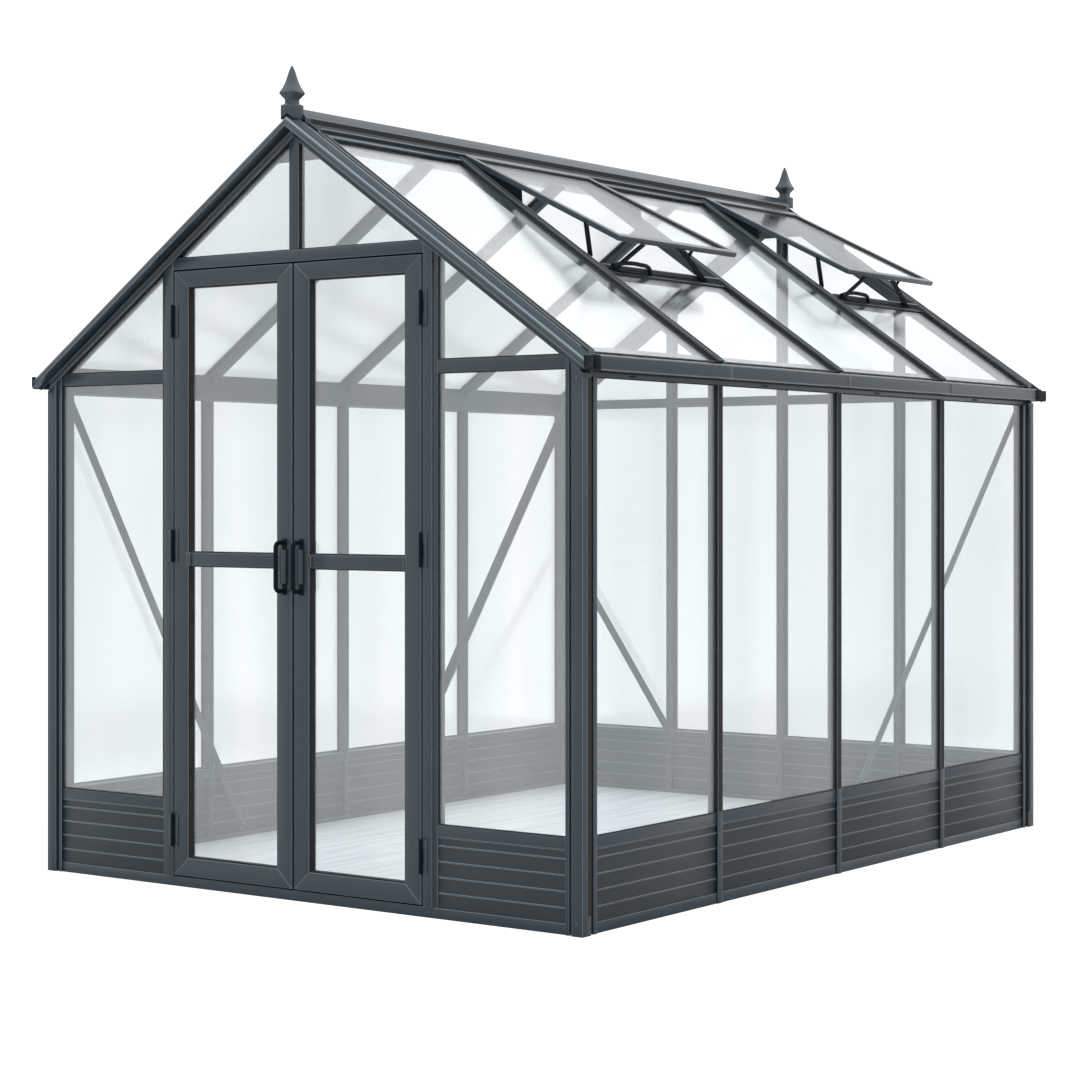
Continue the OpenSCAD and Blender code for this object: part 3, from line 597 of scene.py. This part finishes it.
def plank(low, high, across):
    """One plank with a rib pushed out of the top of both its faces."""
    piece = block("plank", low, high)
    edit(piece)
    bpy.ops.mesh.bisect(plane_co=(0, 0, high[2] - rib_height), plane_no=(0, 0, 1))
    pick(piece, lambda centre, normal: abs(normal.dot(across)) > 0.9
         and centre.z > high[2] - rib_height)
    bpy.ops.mesh.extrude_region_shrink_fatten(TRANSFORM_OT_shrink_fatten={"value": rib_out})
    done()
    return soften(piece, 0.0007)


def plank_stack(low, high):
    """Planks of one bay; low and high give the ends and faces, without heights."""
    planks = []
    across = Vector((0, 1, 0) if high[0] - low[0] > high[1] - low[1] else (1, 0, 0))
    z = plank_low
    while z < plank_high - 0.001:
        top = min(z + plank_pitch, plank_high)
        if planks and top - z > plank_pitch - 0.001:
            planks.append(copied(planks[0], shift=(0, 0, z - plank_low)))
        else:
            planks.append(plank((*low, z), (*high, top), across))
        z = top
    return joined(planks, "stack")


def gable_planks(stops, side, name):
    outer, inner = side * (half_l - board_out), side * (half_l - board_in)
    low_y, high_y = min(outer, inner), max(outer, inner)
    stacks = []
    for start, end in stops:
        stacks.append(plank_stack((start, low_y), (end, high_y)))
        stacks.append(copied(stacks[-1], flip=(-1, 1, 1)))
    return joined(stacks, name)


side_stacks = [plank_stack((half_w - board_in, start), (half_w - board_out, end))
               for start, end in side_stops]
right_planks = joined(side_stacks, "right_planks")
planks = {"left_boards": mirrored(right_planks, "left_planks"), "right_boards": right_planks,
          "front_boards": gable_planks(front_stops, -1, "front_planks"),
          "back_boards": gable_planks(back_stops, 1, "back_planks")}
for node, piece in planks.items():
    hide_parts(node)
    dress(piece, board_coat)
print("planks:", [len(piece.data.polygons) for piece in planks.values()], "faces")

# %% [markdown]
# ## Glazing seals
# Every pane is held by a rubber seal pressed between the glass and the clip cap. It shows as
# a black line a few millimetres wide all round the pane.

# %% Seals of the walls
seal_out, seal_in = 0.0092, 0.0129
hidden, shown = 0.003, 0.004
sill_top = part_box("sill_rails")[1].z
wall_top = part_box("right_glass")[1].z
transom_low, transom_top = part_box("front_transoms")[0].z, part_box("front_transoms")[1].z
header_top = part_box("door_header")[1].z
gable_depth = 0.058


def wall_ring(low, high, axis, cuts=()):
    """A seal round an opening that runs from low to high."""
    grow = Vector([0 if axis[i] else hidden for i in range(3)])
    return ring("seal", Vector(low) - grow, Vector(high) + grow, axis, hidden + shown, cuts)


def side_ring(start, end):
    return wall_ring((half_w - seal_in, start, sill_top),
                     (half_w - seal_out, end, wall_top), (1, 0, 0))


cap_stops = [(-half_l + post_end_side, -bay - cap_half), (-bay + cap_half, -cap_half),
             (cap_half, bay - cap_half), (bay + cap_half, half_l - post_end_side)]
right_seals = joined([side_ring(start, end) for start, end in cap_stops], "right_wall_seals")
left_seals = mirrored(right_seals, "left_wall_seals")
gable_cut = roof_plane(gable_depth - hidden)


def gable_ring(x0, x1, z0, z1, side, cuts=()):
    near, away = half_l - seal_in, half_l - seal_out
    low_y, high_y = (near, away) if side > 0 else (-away, -near)
    return wall_ring((x0, low_y, z0), (x1, high_y, z1), (0, 1, 0), cuts)


post_edge = half_w - post_end_gable
front = [gable_ring(jamb_leg_end, post_edge, sill_top, transom_low, -1),
         gable_ring(jamb_leg_end, post_edge, transom_top, roof_top, -1, [gable_cut]),
         gable_ring(king_half, half_w, header_top, roof_top, -1, [gable_cut])]
back = [gable_ring(king_half, mid_post - king_half, sill_top, roof_top, 1, [gable_cut]),
        gable_ring(mid_post + king_half, post_edge, sill_top, roof_top, 1, [gable_cut])]
for group, name in ((front, "front_wall_seals"), (back, "back_wall_seals")):
    both = group + [copied(piece, flip=(-1, 1, 1)) for piece in group]
    dress(joined(both, name), seal_rubber)
for piece in (right_seals, left_seals):
    dress(piece, seal_rubber)
print("wall seals:", 8 + 6 + 4)

# %% Seals of the roof
flange_end = 0.095
glass_reach = 1.104
glass_end = glass_reach / math.cos(slope)
cross_end = 0.807
verge_leg_in = 0.056


def roof_ring(start, y0, y1):
    return ring("seal", (start, y0 - hidden, -seal_in), (glass_end, y1 + hidden, -seal_out),
                (0, 0, 1), hidden + shown)


roof_stops = [(-half_l + verge_leg_in, -bay - cap_half), (-bay + cap_half, -cap_half),
              (cap_half, bay - cap_half), (bay + cap_half, half_l - verge_leg_in)]
vent_bays = (1, 3)
plain = [roof_ring(flange_end - hidden, y0, y1) for y0, y1 in roof_stops]
plain_seals = joined([onto_roof(piece) for piece in plain], "plain_seals")
left_roof_seals = mirrored(plain_seals, "left_roof_seals")
bpy.data.objects.remove(plain_seals)
vented = [roof_ring(cross_end if i in vent_bays else flange_end - hidden, y0, y1)
          for i, (y0, y1) in enumerate(roof_stops)]
right_roof_seals = joined([onto_roof(piece) for piece in vented], "right_roof_seals")
for piece in (left_roof_seals, right_roof_seals):
    dress(piece, seal_rubber)
print("roof seals:", 8)

# %% [markdown]
# ## Clip caps
# A clip cap is pressed on from outside over each rafter and over the edge of the roof glass
# at each gable. It has a raised lip along both edges with a rubber strip in the groove
# between them. The bars of the side walls carry the same rubber strip from the sill up, and
# strips lie in the grooves beside the corner posts. On the side face of each corner post a
# thin black strip stands for the painted shade of a recess.

# %% Caps of the rafters
cap_face = -0.004
lip_top = -0.0006


def roof_cap(y, half, name):
    tray = soften(channel(name, (flange_end + 0.0005, y - half, cap_face - 0.0004),
                          (glass_end, y + half, lip_top), (0, 0, 1), 0.004, 0.003), 0.0006)
    fill = channel("fill", (flange_end + 0.005, y - half + 0.0045, cap_face - 0.0002),
                   (glass_end - 0.0045, y + half - 0.0045, cap_face + 0.0016), (0, 0, 1),
                   0.003, 0.001)
    return onto_roof(tray), onto_roof(soften(fill, 0.0004, 1))


trays, fills = [], []
for y in bar_ys:
    tray, fill = roof_cap(y, cap_half, "rafter_cap")
    trays.append(tray)
    fills.append(fill)
verge_cap_y, verge_cap_half = -half_l + 0.041, 0.015
verge_cap = roof_cap(verge_cap_y, verge_cap_half, "verge_cap")
for piece, group in zip(verge_cap, (trays, fills)):
    group += [piece, copied(piece, flip=(1, -1, 1))]
for group, name, material, slot in ((trays, "roof_caps", slate_coat, "frame"),
                                    (fills, "roof_cap_strips", seal_rubber, "hardware")):
    right = joined(group, "right_" + name)
    left = mirrored(right, "left_" + name)
    dress(right, material)
    dress(left, material)
print("caps on each slope:", len(bar_ys) + 2)

# %% Caps of the side walls
cap_out = 0.004
wall_fills = []
for y in bar_ys:
    wall_fills.append(soften(channel(
        "fill", (half_w - cap_out - 0.0005, y - 0.0095, sill_top + 0.004),
        (half_w - cap_out + 0.0012, y + 0.0085, wall_top - 0.002), (1, 0, 0), 0.003, 0.0008),
        0.0004, 1))
right = joined(wall_fills, "right_wall_cap_strips")
left = mirrored(right, "left_wall_cap_strips")
for piece in (right, left):
    dress(piece, seal_rubber)
print("wall cap strips:", 2 * len(bar_ys))

# %% Rubber in the grooves of the corner posts, and a strip of painted shade on their sides
groove_low, shadow_strip_low = 0.004, 0.059
gable_groove_top, side_groove_top = 1.62, 1.60
other_corners = ((-1, 1, 1), (1, -1, 1), (-1, -1, 1))


def groove_strip(low, high):
    return soften(block("strip", low, high), 0.0004, 1)


gable_groove = groove_strip((half_w - 0.0498, -half_l + board_out - 0.0012, groove_low),
                            (half_w - 0.0402, -half_l + board_out + 0.0005, gable_groove_top))
side_groove = groove_strip((half_w - board_out - 0.0005, -half_l + 0.0442, groove_low),
                           (half_w - board_out + 0.0012, -half_l + 0.0618,
                            side_groove_top))
# A black strip standing just proud of the side face of the post: painted shade, where the
# post shows a shaded recess.
side_shadow_strip = groove_strip((half_w - 0.0008, -half_l + 0.029, shadow_strip_low),
                          (half_w + 0.0006, -half_l + 0.0445, side_groove_top))
corner = joined([gable_groove, side_groove, side_shadow_strip], "corner")
corners = [corner] + [copied(corner, flip=flip) for flip in other_corners]
dress(joined(corners, "post_groove_and_shadow_strips"), seal_rubber)
print("strips at the corner posts:", 3 * len(corners))

# %% [markdown]
# ## Ridge
# The ridge is a pitched cap over a channel. The flanks of the cap are steep and catch the
# sky, under them lies a dark trough with a seal in it, and where no vent hangs on the
# flange, a flat trim holds the top edge of the glass.

# %% Ridge cap and its trims
ridge_half = 0.036
softened("ridge", 0.0012, slate_coat)
ridge_y = half_l - 0.045
trough = [soften(block("trough", (ridge_half - 0.001, -ridge_y, roof_top - 0.030),
                       (ridge_half + 0.0010, ridge_y, roof_top - 0.0125)), 0.0005, 1),
          onto_roof(soften(channel("trough", (0.052, -ridge_y, -0.0022),
                                   (0.0888, ridge_y, -0.0008), (0, 0, 1), 0.004, 0.0006),
                           0.0003, 1))]
trough = joined(trough, "right_ridge_seal")
left = mirrored(trough, "left_ridge_seal")
for piece in (trough, left):
    dress(piece, seal_rubber)


def top_trim(y0, y1):
    return onto_roof(soften(block("trim", (flange_end + 0.0004, y0, -0.0088),
                                  (flange_end + 0.028, y1, -0.0030)), 0.001))


plain_trims = joined([top_trim(*stop) for stop in roof_stops], "trims")
left_trims = mirrored(plain_trims, "left_glass_trims")
bpy.data.objects.remove(plain_trims)
right_trims = joined([top_trim(*stop) for i, stop in enumerate(roof_stops)
                      if i not in vent_bays], "right_glass_trims")
for piece in (left_trims, right_trims):
    dress(piece, slate_coat)
print("ridge: 2 troughs, 6 trims")

# %% [markdown]
# ## Verges
# The verge cover is a rounded aluminium nose that hides the end of the roof. Under it runs
# the gable bar, with a thin bead along its lower edge. The plain nose of the construction
# model is cut off, and a new one is put on: its top leans outwards to a narrow arris, which
# shows as a bright line helped by a paler coat on its faces as a painted highlight, and under
# that a shallow panel is let into its face. Between the nose and the gable bar a thin black
# strip stands for the painted shadow that the nose throws.

# %% Verge copies without their noses
def short_verge(node, side):
    piece = clean_copy(node)
    cut(piece, (0, side * (half_l + 0.0005), 0), (0, side, 0))
    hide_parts(node)
    return dress(soften(piece, bar_radius), slate_coat)


short_verge("front_verge", -1)
short_verge("back_verge", 1)

# %% The nose
verge_out, verge_h, nose_r = 0.040, 0.033, 0.0060
arris_in, arris_drop = 0.005, 0.009
foot_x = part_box("front_verge")[1].x
mitre = ((0.0002, 0, 0), (-1, 0, 0))
foot_t = 0.002

nose = block("nose", (-0.05, -half_l - verge_out, -verge_h), (1.42, -half_l + 0.0002, 0))
edit(nose)
pick_edges(nose, lambda middle, line: abs(line.x) > 0.9 and middle.y < -half_l - 0.03
           and middle.z > -0.001)
bpy.ops.transform.translate(value=(0, arris_in, -arris_drop))
bpy.ops.mesh.bevel(offset=nose_r, segments=3)
bpy.ops.mesh.select_mode(type="FACE")
pick(nose, lambda centre, normal: normal.y < -0.93 and abs(normal.x) < 0.1)
bpy.ops.mesh.inset(thickness=0.0045, depth=0)
bpy.ops.mesh.extrude_region_shrink_fatten(TRANSFORM_OT_shrink_fatten={"value": -0.0015})
done()
onto_roof(nose)
cut(cut(nose, *mitre), (foot_x - foot_t, 0, 0), (1, 0, 0))
soften(nose, 0.0007)

foot_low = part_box("gutter_end_caps")[0].z
plate = block("plate", (foot_x - foot_t, -half_l - verge_out, foot_low),
              (foot_x, -half_l + 0.045, roof_top))
cut(plate, *roof_plane(0.0005))
edit(plate)
pick_edges(plate, lambda middle, line: middle.y < -half_l - verge_out + 0.001
           and middle.z < foot_low + 0.001)
bpy.ops.mesh.bevel(offset=0.010, segments=6)
done()
soften(plate, 0.0006, 1)

bead = block("bead", (-0.05, -half_l - 0.0025, -gable_depth),
             (1.30, -half_l + 0.0005, -gable_depth + 0.005))
# A thin black strip under the nose: painted shadow between the nose and the gable bar.
shadow_gap = block("gap", (-0.05, -half_l - 0.0006, -verge_h - 0.004),
                   (1.28, -half_l + 0.0005, -verge_h + 0.0002))
for piece in (bead, shadow_gap):
    onto_roof(piece)
    cut(cut(piece, *mitre), (half_w - 0.045, 0, 0), (1, 0, 0))
soften(bead, 0.001)
soften(shadow_gap, 0.0003, 1)
for part, name, material, slot in ((nose, "verge_noses", slate_coat, "frame"),
                                   (plate, "verge_end_plates", black_coat, "frame"),
                                   (bead, "gable_beads", slate_coat, "frame"),
                                   (shadow_gap, "gable_seals", seal_rubber, "hardware")):
    four = [part] + [copied(part, flip=flip) for flip in other_corners]
    dress(joined(four, name), material)
print("verge noses, beads and shadow strips: 4 of each")

# %% Coats of the noses
# Faces that look up take the matt coat, and the faces of the arris the paler one, a painted
# highlight.
highlight_slot, matt_slot = 1, 2
nose_faces = bpy.data.objects["verge_noses"].data
nose_faces.materials.append(cap_coat)
for face in nose_faces.polygons:
    lean, rise = abs(face.normal.y), face.normal.z
    if lean < 0.45 and rise > 0.7:
        face.material_index = matt_slot
    elif 0.35 < lean < 0.94 and rise > 0.2:
        face.material_index = highlight_slot
print("nose faces:", len(nose_faces.polygons))

# %% [markdown]
# ## Gutters
# The gutter is a folded channel with a rolled bead along its top edge and a drip bead below.
# Sleeves cover the joints between its lengths, and under it the eaves beam has small slots
# that let damp air out. A black strip just below the gutter is the painted shadow of the
# gutter on the beam, and each slot is a black patch on the beam face, painted shade in place
# of the dark hole.

# %% Beads, sleeves, slots and a strip of painted shadow
gutter_low, gutter_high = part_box("right_gutter")
gutter_y = gutter_high.y - 0.002
roll = soften(block("roll", (gutter_high.x - 0.005, -gutter_y, gutter_high.z - 0.004),
                    (gutter_high.x + 0.0016, gutter_y, gutter_high.z + 0.0012)), 0.002, 3)
drip = soften(block("drip", (gutter_high.x - 0.001, -gutter_y, gutter_low.z + 0.0005),
                    (gutter_high.x + 0.0012, gutter_y, gutter_low.z + 0.0035)), 0.001)
sleeves = [soften(block("sleeve", (gutter_high.x - 0.001, y - 0.012, gutter_low.z - 0.0006),
                        (gutter_high.x + 0.0009, y + 0.012, gutter_high.z - 0.0035)), 0.0006)
           for y in bar_ys]
right = joined([roll, drip] + sleeves, "right_gutter_beads")
left = mirrored(right, "left_gutter_beads")
for piece in (right, left):
    dress(piece, slate_coat)
beam_face = half_w - 0.009
# A black strip on the beam just below the gutter: painted shadow.
under = soften(block("under", (beam_face - 0.001, -gutter_y, gutter_low.z - 0.0045),
                     (beam_face + 0.0007, gutter_y, gutter_low.z + 0.0002)), 0.0004, 1)
slot_z = (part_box("eaves_beams")[0].z + gutter_low.z - 0.0045) / 2
first_slot_y = -1.23
# Each slot is a black patch on the beam face: painted shade for the dark inside of the slot.
slots = [soften(block("slot", (beam_face - 0.001, y - 0.017, slot_z - 0.003),
                      (beam_face + 0.0006, y + 0.017, slot_z + 0.003)), 0.0025)
         for y in [first_slot_y + bay * i for i in range(side_bays)]]
slots = joined(slots + [under], "beam_slots_and_gutter_shadow")
dress(joined([slots, copied(slots, flip=(-1, 1, 1))], "beam_slots_and_gutter_shadow"), seal_rubber)
print("gutters: 2 rolled beads, 6 sleeves, 8 slots")

# %% [markdown]
# ## Finials
# Each gable carries a cast finial: a square block over the apex and a four-sided spear on a
# short neck. The spear is drawn up from the block by pushing its top face upwards step by
# step and scaling it, which gives the hollow curve of its sides.

# %% Finials
block_top = roof_top + 0.028
spear_steps = [(0.0205, 0.002), (0.0165, 0.0025), (0.0165, 0.0125), (0.0275, 0.0155),
               (0.0290, 0.0035), (0.0280, 0.0045), (0.0215, 0.0125), (0.0160, 0.0155),
               (0.0115, 0.018), (0.0075, 0.0185), (0.0025, 0.0165)]
finial_y, spear_half = 1.504, 0.0235
for node, side in (("front_finial", -1), ("back_finial", 1)):
    foot_block = clean_copy(node)
    cut(foot_block, (0, 0, block_top), (0, 0, 1))
    soften(foot_block, 0.0028, 3)
    spear = block("spear", (-spear_half, side * finial_y - spear_half, block_top - 0.003),
                  (spear_half, side * finial_y + spear_half, block_top))
    edit(spear)
    pick(spear, lambda centre, normal: normal.z > 0.9)
    reach = spear_half
    for next_reach, rise in spear_steps:
        bpy.ops.mesh.extrude_region_move(TRANSFORM_OT_translate={"value": (0, 0, rise)})
        share = next_reach / reach
        bpy.ops.transform.resize(value=(share, share, 1))
        reach = next_reach
    done()
    soften(spear, 0.0012)
    whole = joined([foot_block, spear], node + "_cast")
    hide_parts(node)
    dress(whole, slate_coat)
    print(node, "tip", round(max((v.co.z for v in whole.data.vertices)), 3))

# %% [markdown]
# ## Hinges and handles
# Lift-off hinges: the round knuckles are black, and the flat plates are coated like the
# frame, so that they hardly show. A handle is a bent black bar on a rounded back plate.

# %% Hinges
pin_x, knuckle_r = 0.513, 0.0062
for node in ("hinge_plates", "left_door_hinges", "right_door_hinges"):
    piece = softened(node, 0.0004, slate_coat, highlight_edges=False)
    piece.data.materials.append(black_coat)
    for face in piece.data.polygons:
        if abs(abs(face.center.x) - pin_x) < knuckle_r:
            face.material_index = 1
print("hinges: black knuckles on slate plates")

# %% Handles
handle_x = 0.03525
for side, name in ((-1, "left"), (1, "right")):
    softened(name + "_door_handle", 0.0008, black_coat)
    x = side * handle_x
    back_plate = block("plate", (x - 0.0115, -half_l - 0.0075, 0.985),
                       (x + 0.0115, -half_l - 0.002, 1.095))
    soften(back_plate, 0.0048, 5).data.materials.clear()
    back_plate.name = name + "_handle_back_plate"
    dress(back_plate, slate_coat, name + "_door")
print("handles: 2")

# %% [markdown]
# ## Doors
# The glass of a leaf is held by a deep rubber seal, clips hold the ends of the middle rail,
# and brush seals close the gaps between the leaves and round them.

# %% Door seals and clips
stile, leaf_in, leaf_out = 0.062, 0.00425, 0.510
leaf_low, leaf_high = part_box("right_door_frame")[0].z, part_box("right_door_frame")[1].z
rail_low, rail_high, rail_mid, mid_z = 0.058, 0.051, 0.041, 1.058
face_y = -half_l
openings = [(leaf_low + rail_low, mid_z - rail_mid / 2),
            (mid_z + rail_mid / 2, leaf_high - rail_high)]
rings = [ring("seal", (leaf_in + stile - 0.002, face_y + 0.004, z0 - 0.002),
              (leaf_out - stile + 0.002, face_y + 0.028, z1 + 0.002), (0, 1, 0), 0.0065)
         for z0, z1 in openings]
door_seal = soften(joined(rings, "seal"), 0.0008, 1)
clips = [soften(block("clip", (x - 0.0085, face_y - 0.0012, mid_z - rail_mid / 2),
                      (x + 0.0085, face_y + 0.006, mid_z + rail_mid / 2)), 0.001)
         for x in (leaf_in + stile, leaf_out - stile)]
door_clips = joined(clips, "clips")
brush = soften(block("brush", (0.0010, face_y + 0.012, leaf_low + 0.004),
                     (leaf_in + 0.002, face_y + 0.019, leaf_high - 0.004)), 0.0008, 1)
for flip, name in (((-1, 1, 1), "left"), ((1, 1, 1), "right")):
    for part, kind, material, slot in ((door_seal, "glazing_seals", seal_rubber, "hardware"),
                                       (door_clips, "rail_clips", slate_coat, "frame"),
                                       (brush, "meeting_seal", seal_rubber, "hardware")):
        twin = copied(part, flip=flip)
        twin.name = name + "_door_" + kind
        dress(twin, material, name + "_door")
for part in (door_seal, door_clips, brush):
    bpy.data.objects.remove(part)

stop_y, stop_t, stop_half, stop_gap = face_y + 0.0335, 0.006, 0.516, 0.0062
stop_top = soften(block("stop", (-stop_half, stop_y, leaf_high - 0.010),
                        (stop_half, stop_y + stop_t, leaf_high + stop_gap)), 0.001, 1)
stop_side = soften(block("stop", (leaf_out - 0.010, stop_y, leaf_low),
                         (leaf_out + stop_gap, stop_y + stop_t, leaf_high)), 0.001, 1)
stop_low = soften(block("stop", (-stop_half, stop_y, leaf_low - stop_gap),
                        (stop_half, stop_y + stop_t, leaf_low + 0.006)), 0.001, 1)
stops = joined([stop_top, stop_side, copied(stop_side, flip=(-1, 1, 1)), stop_low],
               "door_stop_seals")
dress(stops, seal_rubber)
print("door seals, clips and stops made")

# %% [markdown]
# ## Roof vents
# Each vent hangs from the ridge flange and is propped open. Besides its two struts it has a
# curved handle on the cross bar, a thin stay at the side, a peg under its lower rail and a
# closing cheek at each side near the hinge.

# %% Vent fittings
vent_angle = math.radians(8.5)
vent_start, vent_rise = 0.0953, 0.008
vent_l = 0.696
vent_spans = [(-0.732, -0.018), (0.768, 1.440)]


def vent_under(s):
    """Height of the underside of an open vent at a distance down the slope."""
    return vent_rise + (s - vent_start) * math.tan(vent_angle) - 0.018


def handle_curve(name, points, radius):
    bpy.ops.object.select_all(action="DESELECT")
    bpy.ops.curve.primitive_bezier_curve_add()
    curve = bpy.context.object
    curve.name = name
    spline = curve.data.splines[0]
    spline.bezier_points.add(len(points) - len(spline.bezier_points))
    for knot, point in zip(spline.bezier_points, points):
        knot.co = point
        knot.handle_left_type = knot.handle_right_type = "AUTO"
    curve.data.dimensions = "3D"
    curve.data.resolution_u = 8
    curve.data.bevel_depth = radius
    curve.data.bevel_resolution = 3
    curve.data.use_fill_caps = True
    bpy.ops.object.convert(target="MESH")
    return bpy.context.object


bar_s, stay_s, peg_s = 0.792, 0.640, 0.752
stay_tilt = math.radians(46)
black_parts, cheek_parts = [], []
for y0, y1 in vent_spans:
    width = y1 - y0
    black_parts.append(onto_roof(handle_curve("handle", [
        (bar_s, y0 + 0.05 * width, 0.008), (bar_s - 0.002, y0 + 0.12 * width, 0.018),
        (bar_s - 0.002, y0 + 0.26 * width, 0.021), (bar_s - 0.001, y0 + 0.34 * width, 0.013),
        (bar_s + 0.001, y0 + 0.375 * width, -0.007)], 0.0072)))
    stay = block("stay", (0, -0.004, -0.008), (0.118, 0.004, 0.008))
    soften(stay, 0.002)
    only(stay)
    stay.rotation_euler = (0, stay_tilt, 0)
    stay.location = (stay_s, y0 + 0.004, vent_under(stay_s) + 0.008)
    bpy.ops.object.transform_apply(location=True, rotation=True, scale=True)
    black_parts.append(onto_roof(stay))
    peg = block("peg", (peg_s, y0 + 0.675 * width, vent_under(peg_s) - 0.034),
                (peg_s + 0.009, y0 + 0.69 * width, vent_under(peg_s) + 0.002))
    edit(peg)
    pick(peg, lambda centre, normal: normal.z < -0.9)
    bpy.ops.mesh.extrude_region_move(TRANSFORM_OT_translate={"value": (0.004, 0, -0.007)})
    bpy.ops.transform.resize(value=(0.6, 0.6, 1))
    done()
    black_parts.append(onto_roof(soften(peg, 0.0015)))
    for y in (y0 + 0.003, y1 - 0.007):
        cheek = block("cheek", (vent_start + 0.01, y, -0.004), (0.40, y + 0.004, 0.06))
        cut(cheek, (vent_start, 0, vent_rise - 0.016),
            (-math.sin(vent_angle), 0, math.cos(vent_angle)))
        cut(cheek, (0.385, 0, 0), (1, 0, 0.8))
        cheek_parts.append(onto_roof(soften(cheek, 0.0006, 1)))
for y0, y1 in vent_spans:
    black_parts.append(onto_roof(soften(channel(
        "sill strip", (bar_s - 0.0085, y0 + 0.012, -0.0092),
        (bar_s + 0.0095, y1 - 0.012, -0.0072),
        (0, 0, 1), 0.004, 0.001), 0.0004, 1)))
dress(joined(black_parts, "vent_fittings"), black_coat)
dress(joined(cheek_parts, "vent_cheeks"), black_coat)
softened("vent_stays", 0.0008, black_coat)
print("vent fittings:", 2 * 3, "and", 2 * 2, "cheeks")

# %% Vent seals
vent_place = (slope_place @ Matrix.Translation((vent_start, 0, vent_rise))
              @ Matrix.Rotation(-vent_angle, 4, "Y"))
member = 0.026
ring_parts = []
for y0, y1 in vent_spans:
    seal = ring("seal", (member - 0.001, y0 + member - 0.001, -0.0072),
                (vent_l - member + 0.001, y1 - member + 0.001, -0.0035), (0, 0, 1), 0.005)
    only(seal)
    seal.matrix_world = vent_place
    bpy.ops.object.transform_apply(location=True, rotation=True, scale=True)
    ring_parts.append(soften(seal, 0.0008, 1))
dress(joined(ring_parts, "vent_seals"), seal_rubber)
print("vent seals: 2")

# %% [markdown]
# ## Screws
# One pan-head screw is modelled: a short cylinder whose top is rounded and has a socket let
# in. It is copied to the feet and heads of the corner posts and to the base rails.

# %% One screw
bpy.ops.object.select_all(action="DESELECT")
bpy.ops.mesh.primitive_cylinder_add(vertices=16, radius=0.0042, depth=0.0022,
                                    location=(0, 0, 0.0009))
screw = bpy.context.object
screw.name = "screw"
bpy.ops.object.transform_apply(location=True, rotation=True, scale=True)
edit(screw)
pick(screw, lambda centre, normal: normal.z > 0.9)
bpy.ops.mesh.inset(thickness=0.0022, depth=0)
bpy.ops.mesh.extrude_region_move(TRANSFORM_OT_translate={"value": (0, 0, -0.0012)})
done()
soften(screw, 0.0006)
print("screw faces:", len(screw.data.polygons))

# %% Place the screws
def screw_at(point, outward, size=1.0):
    twin = copied(screw)
    twin.matrix_world = (Matrix.Translation(point)
                         @ Vector(outward).to_track_quat("Z", "Y").to_matrix().to_4x4()
                         @ Matrix.Scale(size, 4))
    only(twin)
    bpy.ops.object.transform_apply(location=True, rotation=True, scale=True)
    return twin


signs = [(sx, sy) for sx in (-1, 1) for sy in (-1, 1)]
post_foot_z, post_head_z, rail_z = 0.040, 1.600, 0.016
placed = [screw_at((sx * (half_w - 0.020), sy * half_l, z), (0, sy, 0))
          for z in (post_foot_z, post_head_z) for sx, sy in signs]
for sx, sy in signs:
    placed += [screw_at((sx * half_w, sy * (half_l - 0.022), post_foot_z), (sx, 0, 0)),
               screw_at((sx * mid_post, sy * (half_l - 0.009), rail_z), (0, sy, 0), 0.8)]
feet = joined(placed, "post_screws")
dress(feet, screw_steel)
print("screws placed:", len(placed))
bpy.data.objects.remove(screw)

# %% [markdown]
# ## Materials of the remaining nodes
# The panes and the floor keep the shapes of the construction model. The panes cast no
# shadow and take nothing from the light that is thrown about inside, as clear glass hardly
# does.

# %% Glass and floor
for name in nodes:
    if "glass" in name:
        nodes[name].data.materials.clear()
        nodes[name].data.materials.append(roof_glass if "roof" in name or "vent" in name
                                          else wall_glass)
        nodes[name].visible_shadow = False
        nodes[name].visible_diffuse = False
nodes["floor"].data.materials.clear()
nodes["floor"].data.materials.append(floor_panel)
print("panes:", sum("glass" in name for name in nodes))
